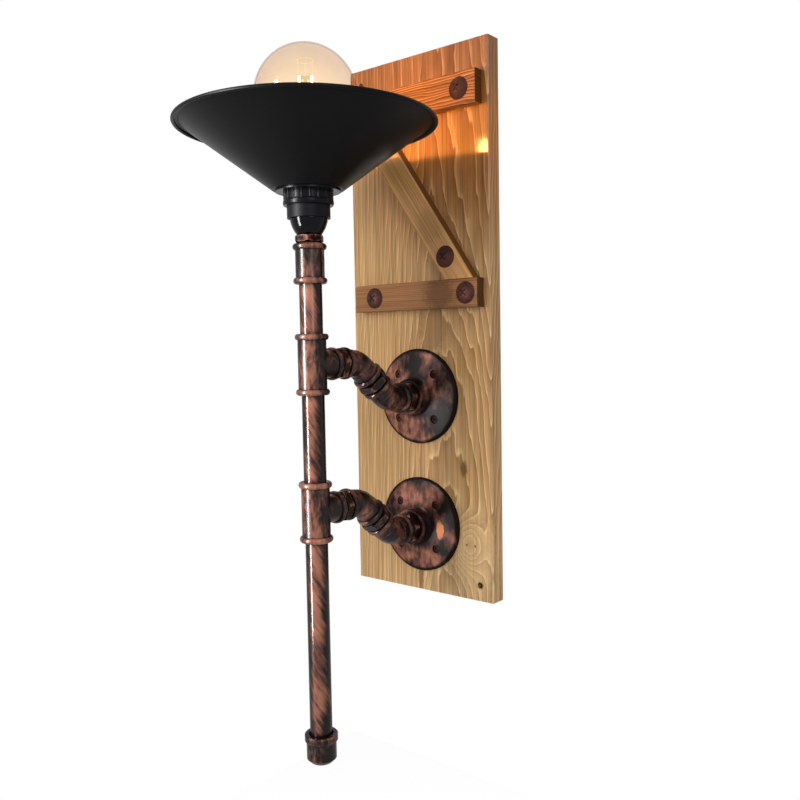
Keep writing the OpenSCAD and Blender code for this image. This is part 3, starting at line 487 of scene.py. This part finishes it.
def rubbed_copper(name, tones, seed, *, patch, rub, rough, stretch=(1, 1, 1), grit=0.4, coat=0.32, scuffs=0.6,
                  twist=0.0, shade_lobes=0.0, ridge=0.4, axis=None, wear=(), spots=(), pad=None):
    """Lacquered copper rubbed over a dark ground. Cloudy patches, their scuffs and an even rub add up to how
    much copper covers a place, from the ground through brown to bright. A twist winds patches and scuffs
    round the stem. Two bands along the stem paint shade: more copper on the side turned to the camera and its
    opposite, less at the sides seen from the camera. Wear is a list of distances from an axis with what they
    add, and spots are round places with what they add. Hollows keep the dark ground and take painted shade in
    creases and where parts meet, and ridges are rubbed bright. A pad is a bare oval. Coat and rough are the
    lacquer's weight and roughness, and grit is the relief of the skin under it."""
    f = Finish(name)
    whole, fine = (f.wound(twist), f.wound(twist * SCUFF_TWIST)) if twist else (f.place, f.place)
    slant, narrow = WOUND_SCUFFS if twist else FREE_SCUFFS
    spot = f.moved(scale=stretch, shift=(seed, seed * 0.7, seed * 0.3), source=whole)
    cloud = f.noise(spot, scale=patch, detail=4.0)
    strokes = f.moved(scale=(1, 1, narrow), turn=slant, shift=(seed, 0, 0), source=fine)
    scuff = f.noise(strokes, scale=patch * SCUFF_FINENESS, detail=5.0)
    cover = f.math("ADD", f.math("MULTIPLY_ADD", f.math("SUBTRACT", scuff, 0.5), scuffs, cloud), rub)
    # Painted shade: more copper on the side turned to the camera and its opposite, darker at the sides seen
    # from the camera.
    if shade_lobes:
        about = f.parts(f.vector("SUBTRACT", f.place, tuple(STEM)))
        angle = f.math("ARCTAN2", about["Y"], about["X"])
        painted_side_shade = f.math("COSINE", f.math("MULTIPLY_ADD", angle, 2.0, 2 * SHADE_LOBE_TURN))
        cover = f.math("MULTIPLY_ADD", painted_side_shade, shade_lobes, cover)
    if axis:
        start, along = axis
        arm = f.vector("SUBTRACT", f.place, tuple(start))
        away = f.vector("LENGTH", f.vector("CROSS_PRODUCT", arm, along))
        reach = wear[-1][0]
        added = f.ramp(f.math("DIVIDE", away, reach), *((r / reach, 0.5 + amount) for r, amount in wear))
        cover = f.math("ADD", cover, f.math("SUBTRACT", added, 0.5))
    for x, z, radius, amount in spots:
        gap = f.moved(scale=(1 / radius, 0, 1 / radius), shift=(-x / radius, 0, -z / radius))
        cover = f.math("MULTIPLY_ADD", f.bell(f.vector("LENGTH", gap)), amount, cover)
    # Occlusion darkens hollows, creases and the places where parts meet: partly the dark ground, partly
    # painted shade; the inside occlusion rubs ridges bright.
    occlusion = "ShaderNodeAmbientOcclusion"
    grime_and_shade_occlusion = f.add(occlusion, {"Distance": HOLLOW_SHADE_REACH}, samples=REACH_SAMPLES).outputs["AO"]
    thick = f.add(occlusion, {"Distance": RIDGE_REACH}, samples=REACH_SAMPLES, inside=True).outputs["AO"]
    cover = f.math("MULTIPLY_ADD", f.math("SUBTRACT", grime_and_shade_occlusion, 1.0), GRIME_AND_SHADE, cover)
    cover = f.math("MULTIPLY_ADD", f.math("SUBTRACT", 1.0, thick), ridge, cover)
    colour = f.ramp(cover, *zip(COVER_STOPS, tones))
    if pad:
        place, bare = pad
        colour = f.mix(f.oval(*place), colour, bare)
    skin = f.noise(f.moved(shift=(seed, 0, 0)), scale=620.0)
    f.set(Base_Color=colour, Metallic=0.05, Roughness=f.ramp(cover, (0.4, 0.4), (0.7, 0.5)),
          Specular_IOR_Level=0.012, Coat_Weight=coat, Coat_Roughness=rough)
    f.bump(f.mix(0.3, skin, cloud), grit)
    return f.material


def rusty_steel(name, rust):
    """Brown oxide: fine mottling of dark and red-brown with a pitted skin."""
    f = Finish(name)
    mottle = f.noise(f.place, scale=520.0, detail=5.0, rough=0.65)
    cloud = f.noise(f.place, scale=110.0, detail=2.0)
    warm = (min(1.0, rust[0] * 1.5), rust[1] * 1.1, rust[2] * 0.95)
    colour = f.mix(f.between(mottle, 0.35, 0.68), dark(rust, 0.5), rust)
    f.set(Base_Color=f.mix(f.ramp(cloud, (0.45, 0.0), (0.7, 0.6)), colour, warm), Metallic=0.1,
          Roughness=f.ramp(mottle, (0.3, 0.6), (0.7, 0.42)), Specular_IOR_Level=0.012)
    f.bump(mottle, 0.35)
    return f.material


def black_skin(name, colour, rough, grain, specular, pitch=700.0):
    """Black moulding or paint: an even colour with a faint cloud in it and a fine skin."""
    f = Finish(name)
    skin = f.noise(f.place, scale=pitch, detail=2.0)
    cloud = f.noise(f.place, scale=28.0, detail=2.0)
    f.set(Base_Color=f.mix(f.between(cloud, 0.3, 0.7), dark(colour, 0.85), dark(colour, 1.15)),
          Roughness=f.ramp(skin, (0.2, rough * 0.9), (0.8, rough * 1.1)), Specular_IOR_Level=specular)
    f.bump(skin, grain, depth=0.0002)
    return f.material


def bright_metal(name, colour, rough):
    """Turned or pressed metal: fine rings along the height vary the polish."""
    f = Finish(name)
    rings = f.noise(f.moved(scale=(40, 40, 2600)), detail=2.0)
    f.set(Base_Color=f.mix(f.between(rings, 0.3, 0.7), dark(colour, 0.8), colour), Metallic=1.0,
          Roughness=f.ramp(rings, (0.3, rough * 0.8), (0.7, rough * 1.2)))
    return f.material


def ceramic(name, colour):
    """Glazed ceramic: pale body with faint clouding."""
    f = Finish(name)
    cloud = f.noise(f.place, scale=160.0)
    f.set(Base_Color=f.mix(cloud, dark(colour, 0.85), colour), Roughness=0.25)
    return f.material


def globe_glass(name, tint, edge, glow):
    """Thin tinted glass: light passes straight through each layer and takes its tint, the layer seen along
    its wall is darker, some of the surroundings is mirrored, and a painted glow in the glass, the haze of the
    filaments' light, is brightest low down."""
    f = Finish(name)
    facing = f.add("ShaderNodeLayerWeight", {"Blend": 0.5}).outputs["Facing"]
    haze = f.noise(f.place, scale=60.0, detail=2.0)
    layer = f.mix(f.between(haze, 0.3, 0.7), dark(tint, 0.985), tint)
    clear = f.add("ShaderNodeBsdfTransparent", {"Color": f.mix(f.between(facing, 0.8, 0.93), layer, edge)})
    mirror = f.add("ShaderNodeBsdfGlossy", {"Color": WHITE, "Roughness": 0.04})
    grazing = f.math("MULTIPLY_ADD", f.math("POWER", facing, MIRROR_POWER), MIRROR_GAIN, MIRROR_BASE)
    glass = f.add("ShaderNodeMixShader", {0: grazing, 1: clear.outputs[0], 2: mirror.outputs[0]})
    rise = f.math("DIVIDE", f.math("SUBTRACT", f.parts()["Z"], GLOBE_CENTRE.z - GLOBE_R), 2 * GLOBE_R)
    low_down = f.ramp(rise, (0.3, 1.0), (0.95, 0.12))
    near = f.math("MULTIPLY", low_down, f.ramp(facing, (0.03, 1.0), (0.65, 0.0)))
    light = f.add("ShaderNodeEmission", {"Color": glow, "Strength": f.math("MULTIPLY", near, HAZE_GLOW)})
    f.surface(f.add("ShaderNodeAddShader", {0: glass.outputs[0], 1: light.outputs[0]}))
    return f.material


def glowing(name, glow, strength):
    """Wire that glows and takes no light, a little uneven along its length; only on the filaments is the glow
    real light, on the frame, the cage and the stem it is painted light.
    """
    f = Finish(name)
    flicker = f.noise(f.place, scale=300.0, detail=2.0)
    colour = f.mix(f.between(flicker, 0.35, 0.65), glow, tuple(0.5 + c / 2 for c in glow))
    f.set(Base_Color=(0.0, 0.0, 0.0), Emission_Color=colour, Emission_Strength=strength, Roughness=0.6,
          Specular_IOR_Level=0.0)
    return f.material


def paint(material, *nodes):
    """Gives CAD nodes a material."""
    for name in nodes:
        mesh = frame["nodes"][name].data
        mesh.materials.clear()
        mesh.materials.append(material)


def arc(centre, radius, start, stop, steps):
    """Points of a circle's arc, angles in degrees: centre plus radius times cosine and sine."""
    angle = np.radians(np.linspace(start, stop, steps))
    return np.stack([centre[0] + radius * np.cos(angle), centre[1] + radius * np.sin(angle)], 1)


def straight(start, stop):
    """Points of a straight line: the start times what is left, plus the stop times what is done."""
    done = np.linspace(0, 1, CURVE_STEPS)[:, None]
    return np.array([start]) * (1 - done) + np.array([stop]) * done


def revolved(profile, axis, segments):
    """Closed profile of radius and height carried round an upright axis: x and y are radius times cosine
    and sine of the turn. Both grid directions wrap, and a row on the axis is one point, so that the surface
    is closed."""
    turn = np.arange(segments) * 2 * math.pi / segments
    radius, height = profile[:, :1], profile[:, 1:]
    grid = np.stack([axis.x + radius * np.cos(turn), axis.y + radius * np.sin(turn),
                     np.broadcast_to(height, (len(profile), segments))], 2)
    number = np.arange(len(profile) * segments).reshape(-1, segments)
    number = np.where(radius < NEAR_AXIS, number[:, :1], number).ravel()
    return grid.reshape(-1, 3), number[wrapped(len(profile), segments)]


def wrapped(rows, columns):
    """Faces of a grid that wraps in both directions."""
    i, j = np.meshgrid(np.arange(rows), np.arange(columns), indexing="ij")
    up, on = (i + 1) % rows, (j + 1) % columns
    corners = (i * columns + j, i * columns + on, up * columns + on, up * columns + j)
    return np.stack(corners, 2).reshape(-1, 4)


def joined(*meshes):
    """One mesh of several meshes' points and faces."""
    points, faces, first = [], [], 0
    for some_points, some_faces in meshes:
        points.append(some_points)
        faces.append(some_faces + first)
        first += len(some_points)
    return np.concatenate(points), np.concatenate(faces)


def piece(name, points, faces, material, body, slot, *nodes, crease=40.0):
    """Adds a closed mesh as a piece that rides on a body and stands for CAD nodes. A face at a pole becomes a
    triangle, one between two poles is dropped, and edges sharper than the crease stay sharp."""
    mesh = bpy.data.meshes.new(name)
    used, corner = np.unique(faces, return_inverse=True)
    corner = corner.reshape(-1, 4)
    foot, crown = corner[:, 0] == corner[:, 1], corner[:, 2] == corner[:, 3]
    groups = (corner[~foot & ~crown], corner[foot & ~crown][:, [0, 2, 3]], corner[~foot & crown][:, :3])
    mesh.from_pydata(points[used].tolist(), [], [face for group in groups for face in group.tolist()])
    mesh.materials.append(material)
    mesh.polygons.foreach_set("use_smooth", np.ones(len(mesh.polygons), bool))
    mesh.set_sharp_from_angle(angle=math.radians(crease))
    mesh.update()
    thing = bpy.data.objects.new(name, mesh)
    bpy.context.scene.collection.objects.link(thing)
    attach(thing, body)
    if nodes:
        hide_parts(*nodes)


class WALLLIGHT_OT_timber(bpy.types.Operator):
    """Stains the back board, the battens and the brace"""
    bl_idname = "wall_light.timber"
    bl_label = "Stain the timber"

    def execute(self, context):
        s = context.scene.wall_light_timber
        line, spacing, level = tuple(s.line_tone), s.ring_spacing, -math.pi / 2
        low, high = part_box("diagonal_brace")
        run, climb = high.x - low.x, high.z - low.z
        slope = math.atan2(climb, run) + math.asin(BRACE_WIDTH / math.hypot(run, climb))
        board_marks = (CORNER_MARK, *SPECK_MARKS, *HOLE_SHADE_MARKS, SCAR_MARK, BELOW_BATTEN_MARK, FOOT_MARK)
        paint(pine("pine_board", tuple(s.board_tone), line, spacing, sway=0.036, bands=0.5, lines=0.9,
                   lively=5.0, tints_and_light=BOARD_TINTS_AND_PAINTED_LIGHT, knot=KNOT, marks=board_marks), "backboard")
        paint(pine("pine_upper_batten", tuple(s.lit_tone), dark(line, 0.75), spacing * 0.62, sway=0.06,
                   bands=1.7, lines=0.7, turn=level, pith=(0.27, 0.03), tilt=0.05, seed=3.1, wave=1.8),
              "upper_batten")
        paint(pine("pine_lower_batten", tuple(s.batten_tone), dark(line, 0.6), spacing * 0.42, sway=0.008,
                   bands=0.6, lines=0.35, turn=level, pith=(0.10, 0.04), tilt=0.02, seed=5.7,
                   marks=[BATTEN_SHADOW_MARK]), "lower_batten")
        # The brace's upper-right side face is painted dark as shade.
        paint(pine("pine_brace", tuple(s.brace_tone), dark(line, 0.85), spacing * 0.6, sway=0.012,
                   bands=0.2, lines=0.22, turn=math.pi / 2 - slope, pith=(0.20, 0.05), tilt=0.02, seed=8.3,
                   marks=[BRACE_SHADOW_MARK], edge=(math.sin(slope), 0.0, math.cos(slope))), "diagonal_brace")
        return {"FINISHED"}


class WALLLIGHT_OT_fittings(bpy.types.Operator):
    """Rubs copper over the flanges, elbows, tees, nipples, pipes, cap and socket"""
    bl_idname = "wall_light.fittings"
    bl_label = "Rub the fittings"

    def execute(self, context):
        s = context.scene.wall_light_copper
        tones = [tuple(t) for t in (s.ground_tone, s.brown_tone, s.copper_tone, s.bright_tone)]
        for number, name in enumerate(frame["nodes"]):
            flange = name.endswith("_flange")
            look = self.flange(name, tuple(s.bare_tone)) if flange else self.fitting(name)
            if look:
                paint(rubbed_copper("copper_" + name, tones, SEED_STEP * number, **look), name)
        return {"FINISHED"}

    def flange(self, name, bare):
        """Look of a flange: darker rim, painted shade round the hub, lighter and darker places, and the bare
        place of the lower one.
        """
        at = middle(name)
        low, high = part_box(name)
        rim = (high.x - low.x) / 2
        spots = [(at.x + x / MM_PER_M, at.z + z / MM_PER_M, radius / MM_PER_M, amount)
                 for x, z, radius, amount in FLANGE_PATCHES[name]]
        wear = (*HUB_SHADE, *((rim * share, amount) for share, amount in RIM_DARKENING))
        x, z, *size = BARE_PLACE
        return dict(patch=34, rub=-0.05, rough=0.3, grit=0.6, coat=0.03, scuffs=0.4, ridge=0.0, spots=spots,
                    axis=(at, OUTWARD), wear=wear,
                    pad=((at.x + x, at.z + z, *size), bare) if name == "lower_flange" else None)

    def fitting(self, name):
        """Look of any other fitting, or None for a node that isn't one."""
        if name.endswith("_elbow"):
            return dict(patch=46, rub=-0.12, rough=0.16, grit=0.7, scuffs=0.32)
        if name.endswith("_nipple"):
            across = -math.sin(ELBOW_BEND) * math.sin(ARM_LEAN)
            slanting = (across, -math.cos(ELBOW_BEND), math.sin(ELBOW_BEND) * math.cos(ARM_LEAN))
            along = slanting if "middle" in name else OUTWARD
            return dict(patch=80, rub=-0.15, rough=0.12, grit=0.2, ridge=0.3, axis=(middle(name), along),
                        wear=THREAD_WEAR)
        if name == "holder_bush":
            return dict(patch=60, rub=-0.06, rough=0.2, grit=0.2, coat=0.0, shade_lobes=0.1)
        if name == "end_cap":
            return dict(patch=60, rub=-0.17, rough=0.14, shade_lobes=0.05)
        if name in TEE_RUBS:
            return dict(patch=55, stretch=(1, 1, 0.5), rub=TEE_RUBS[name], rough=0.24, grit=0.9, shade_lobes=0.16,
                        ridge=0.3, axis=(STEM, UPRIGHT), wear=BEAD_WEAR)
        if name in PIPE_RUBS:
            return dict(patch=58, stretch=(1, 1, 0.4), rub=PIPE_RUBS[name], rough=0.1, grit=0.08, scuffs=0.46,
                        twist=24.0, shade_lobes=0.17)
        return None


class WALLLIGHT_OT_fixings(bpy.types.Operator):
    """Rusts the dome screws and the flange screws"""
    bl_idname = "wall_light.fixings"
    bl_label = "Rust the screws"

    def execute(self, context):
        rust = tuple(context.scene.wall_light_copper.rust_tone)
        paint(rusty_steel("rusty_dome", rust), "dome_screws")
        paint(rusty_steel("rusty_countersunk", dark(rust, 0.6)), "flange_screws")
        return {"FINISHED"}


class WALLLIGHT_OT_lampholder(bpy.types.Operator):
    """Finishes the lampholder, its contacts and the shade rings"""
    bl_idname = "wall_light.lampholder"
    bl_label = "Finish the lampholder"

    def execute(self, context):
        gloss = black_skin("gloss_moulding", srgb(12, 12, 15), rough=0.1, grain=0.02, specular=0.1)
        matt = black_skin("matt_moulding", srgb(21, 20, 26), rough=0.45, grain=0.12, specular=0.055)
        satin = black_skin("satin_moulding", srgb(18, 17, 22), rough=0.27, grain=0.05, specular=0.06)
        brass = bright_metal("brass_contacts", srgb(214, 178, 106), rough=0.28)
        paint(gloss, "holder_cover")
        paint(matt, "holder_body", "upper_shade_ring")
        paint(satin, "lower_shade_ring")
        paint(brass, "terminal_screws", "centre_contact", "screw_shell", "tip_contact")
        paint(ceramic("glazed_block", srgb(222, 216, 200)), "contact_block")
        return {"FINISHED"}


class WALLLIGHT_OT_shade(bpy.types.Operator):
    """Spins the cone shade with its rolled lip"""
    bl_idname = "wall_light.shade"
    bl_label = "Spin the shade"

    def execute(self, context):
        s = context.scene.wall_light_shade
        height = SHADE_HIGH.z - SHADE_LOW.z
        rim = (SHADE_HIGH.x - SHADE_LOW.x) / 2
        cone, lip = rim - s.lip_width, height - s.sheet
        slope = math.atan2(lip, cone - s.seat_radius)
        bend = s.sheet * math.tan(slope / 2)
        roll_r = s.lip_thickness / 2
        start = 180 - math.degrees(math.asin(1 - s.sheet / roll_r))
        roll = arc((rim - roll_r, height - roll_r), roll_r, start, 360 + 90, CURVE_STEPS)
        outer = straight([s.seat_radius, 0], [cone, lip])
        inner = straight([cone - bend, height], [s.seat_radius - bend, s.sheet])
        profile = np.concatenate([[[s.hole_radius, 0]], outer, roll, inner, [[s.hole_radius, s.sheet]]])
        profile[:, 1] += SHADE_LOW.z
        points, faces = revolved(profile, STEM, s.segments)
        enamel = black_skin("satin_enamel", tuple(s.paint_tone), rough=0.39, grain=0.05, specular=0.065,
                            pitch=1400.0)
        piece("shade_cone", points, faces, enamel, "fixture", "shade_black", "shade", crease=30)
        return {"FINISHED"}


class WALLLIGHT_OT_bulb(bpy.types.Operator):
    """Blows the globe and lights its filaments"""
    bl_idname = "wall_light.bulb"
    bl_label = "Light the bulb"

    def execute(self, context):
        s = context.scene.wall_light_bulb
        glow = tuple(s.glow_tone)
        glass = globe_glass("tinted_glass", tuple(s.glass_tone), tuple(s.rim_tone), glow)
        piece("globe", *self.globe(s), glass, "bulb", "bulb_glass", "bulb_glass")
        # The cage, the frame wire and the stem glass glow as painted light of the filaments.
        piece("filament_cage", *self.cage(s), glowing("warm_wire", glow, CAGE_GLOW), "bulb", "filament")
        paint(glowing("hot_filament", glow, FILAMENT_GLOW), "filaments")
        paint(glowing("frame_wire", glow, FRAME_GLOW), "filament_frame")
        paint(glowing("stem_glass", glow, FRAME_GLOW), "bulb_stem")
        paint(bright_metal("pressed_cap", srgb(196, 196, 198), rough=0.3), "bulb_cap")
        insulator = black_skin("black_glass", srgb(14, 14, 15), rough=0.12, grain=0.0, specular=0.3)
        paint(insulator, "cap_insulator")
        lamp = bpy.data.lights.new("bulb_lamp", "POINT")
        lamp.energy, lamp.color, lamp.shadow_soft_size = s.lamp_power, tuple(s.lamp_tone), s.lamp_radius
        holder = bpy.data.objects.new("bulb_lamp", lamp)
        holder.location = GLOBE_CENTRE + Vector((-s.filament_side, 0, s.filament_rise))
        holder.parent = frame["bodies"]["bulb"]
        context.scene.collection.objects.link(holder)
        return {"FINISHED"}

    def globe(self, s):
        """Glass wall: its outline outside, and the same outline drawn in by the wall's thickness inside."""
        rise = GLOBE_CENTRE.z - GLASS_LOW.z
        curve_x = s.neck_radius + s.neck_curve
        curve_z = rise - math.sqrt((GLOBE_R + s.neck_curve) ** 2 - curve_x ** 2)
        meet = math.degrees(math.atan2(rise - curve_z, curve_x))

        def outline(inset):
            """Neck, waist curve and ball, drawn in by the inset."""
            neck = np.array([[s.neck_radius - inset, 0]])
            waist = arc((curve_x, curve_z), s.neck_curve + inset, 180, 180 - meet, CURVE_STEPS)
            ball = arc((0, rise), GLOBE_R - inset, -meet, 90, BALL_STEPS)[1:]
            return np.concatenate([neck, waist, ball])

        profile = np.concatenate([outline(0), outline(s.glass_wall)[::-1]])
        profile[:, 1] += GLASS_LOW.z
        return revolved(profile, STEM, GLOBE_SEGMENTS)

    def cage(self, s):
        """Wire ring over the filament frame on six thin upright rods, each rod a revolved bar."""
        top = WIRE_TOP + s.cage_rise
        loop = arc((s.cage_radius, top), s.wire_radius, 0, 360, WIRE_STEPS + 1)[:-1]
        rod = np.array([[0, 0], [1, 0], [1, 1], [0, 1]]) * [s.wire_radius, s.cage_rise] + [0, WIRE_TOP]
        turns = np.radians(np.arange(0, 360, 60) + 20)
        feet = [STEM + s.cage_radius * Vector((math.cos(a), math.sin(a), 0)) for a in turns]
        rods = [revolved(rod, foot, ROD_SEGMENTS) for foot in feet]
        return joined(revolved(loop, STEM, CAGE_SEGMENTS), *rods)


class WALLLIGHT_OT_stage(bpy.types.Operator):
    """Sets the floor, the white surroundings, the lamps and the camera"""
    bl_idname = "wall_light.stage"
    bl_label = "Set the stage"

    def execute(self, context):
        s = context.scene.wall_light_stage
        scene = context.scene
        scene.view_settings.view_transform = "Standard"
        self.surroundings(scene, s.fill)
        self.floor(scene, CAD_BOX[0][2] - s.floor_drop)
        self.lamp(scene, "key", *KEY_LAMP, s.key_power)
        self.lamp(scene, "side", *SIDE_LAMP, s.side_power)
        self.lamp(scene, "strip", *STRIP_LAMP, s.strip_power).visible_diffuse = False
        self.camera(scene)
        return {"FINISHED"}

    def surroundings(self, scene, fill):
        """White world: strength one for sight, gloss and glass, and the fill for everything else."""
        scene.world = bpy.data.worlds.new("white_surroundings")
        scene.world.use_nodes = True
        tree = scene.world.node_tree
        scale = tree.nodes.new("ShaderNodeMapRange")
        tree.links.new(self.seen(tree), scale.inputs["Value"])
        scale.inputs["To Min"].default_value = fill
        background = tree.nodes["Background"]
        background.inputs["Color"].default_value = (*WHITE, 1)
        tree.links.new(scale.outputs["Result"], background.inputs["Strength"])

    def seen(self, tree):
        """One for a ray of sight, gloss or glass, and nought for every other ray."""
        path = tree.nodes.new("ShaderNodeLightPath").outputs
        total = path["Is Camera Ray"]
        for name in ("Is Glossy Ray", "Is Transmission Ray"):
            add = tree.nodes.new("ShaderNodeMath")
            add.operation, add.use_clamp = "ADD", True
            tree.links.new(total, add.inputs[0])
            tree.links.new(path[name], add.inputs[1])
            total = add.outputs[0]
        return total

    def floor(self, scene, level):
        """Square pale floor under the light, a two by two grid of points, which looks white."""
        x, y = np.meshgrid([-FLOOR_HALF, FLOOR_HALF], [-FLOOR_HALF, FLOOR_HALF])
        points = np.stack([x, y, np.full_like(x, level)], 2).reshape(-1, 3)
        mesh = bpy.data.meshes.new("floor")
        mesh.from_pydata(points.tolist(), [], [(0, 1, 3, 2)])
        f = Finish("pale_floor")
        lift = f.math("MULTIPLY", self.seen(f.material.node_tree), FLOOR_LIFT)
        f.set(Base_Color=FLOOR_COLOUR, Roughness=0.9, Specular_IOR_Level=0.0, Emission_Color=WHITE,
              Emission_Strength=lift)
        mesh.materials.append(f.material)
        plane = bpy.data.objects.new("floor", mesh)
        scene.collection.objects.link(plane)

    def lamp(self, scene, name, place, size, watts):
        """Rectangular lamp that faces the middle of the light."""
        light = bpy.data.lights.new(name, "AREA")
        light.shape, light.energy = "RECTANGLE", watts
        light.size, light.size_y = size
        thing = bpy.data.objects.new(name, light)
        thing.location = place
        thing.rotation_euler = (LAMP_TARGET - Vector(place)).to_track_quat("-Z", "Y").to_euler()
        scene.collection.objects.link(thing)
        return thing

    def camera(self, scene):
        """Camera of the photograph: its sight line from heading and dip, then rolled about that line."""
        heading, dip, roll = (math.radians(a) for a in CAMERA_TURNS)
        sweep = math.cos(dip)
        ahead = Vector((-math.sin(heading) * sweep, math.cos(heading) * sweep, -math.sin(dip)))
        level = Vector((math.cos(heading), math.sin(heading), 0))
        upright = level.cross(ahead)
        right = math.cos(roll) * level + math.sin(roll) * upright
        up = -math.sin(roll) * level + math.cos(roll) * upright
        data = bpy.data.cameras.new("camera")
        data.sensor_width, data.lens, data.clip_start = CAMERA_SENSOR, CAMERA_LENS, CAMERA_NEAR
        thing = bpy.data.objects.new("camera", data)
        turned = Matrix((right, up, -ahead)).transposed().to_4x4()
        thing.matrix_world = Matrix.Translation(CAMERA_PLACE) @ turned
        scene.collection.objects.link(thing)
        scene.camera = thing


class WALLLIGHT_PT_sidebar(bpy.types.Panel):
    """Lists the steps and settings of the wall light"""
    bl_label = "Wall light"
    bl_idname = "WALLLIGHT_PT_sidebar"
    bl_space_type = "VIEW_3D"
    bl_region_type = "UI"
    bl_category = "Wall light"

    def draw(self, context):
        for step in STEPS:
            self.layout.operator(step.bl_idname)
        for name, group in SETTINGS.items():
            box = self.layout.box()
            box.label(text=group.__doc__)
            for key in group.__annotations__:
                box.prop(getattr(context.scene, name), key)


SETTINGS = {
    "wall_light_timber": TimberSettings,
    "wall_light_copper": CopperSettings,
    "wall_light_shade": ShadeSettings,
    "wall_light_bulb": BulbSettings,
    "wall_light_stage": StageSettings,
}
STEPS = (WALLLIGHT_OT_stage, WALLLIGHT_OT_timber, WALLLIGHT_OT_fittings, WALLLIGHT_OT_fixings,
         WALLLIGHT_OT_lampholder, WALLLIGHT_OT_shade, WALLLIGHT_OT_bulb)
CLASSES = (*SETTINGS.values(), *STEPS, WALLLIGHT_PT_sidebar)


def register():
    """Adds the classes and their settings to Blender."""
    for cls in CLASSES:
        bpy.utils.register_class(cls)
    for name, group in SETTINGS.items():
        setattr(bpy.types.Scene, name, PointerProperty(type=group))


def unregister():
    """Takes the settings and the classes away again."""
    for name in SETTINGS:
        delattr(bpy.types.Scene, name)
    for cls in reversed(CLASSES):
        bpy.utils.unregister_class(cls)


def main():
    """Dresses the part."""
    register()
    bpy.ops.wall_light.stage()
    bpy.ops.wall_light.timber()
    bpy.ops.wall_light.fittings()
    bpy.ops.wall_light.fixings()
    bpy.ops.wall_light.lampholder()
    bpy.ops.wall_light.shade()
    bpy.ops.wall_light.bulb()


if __name__ == "__main__":
    main()
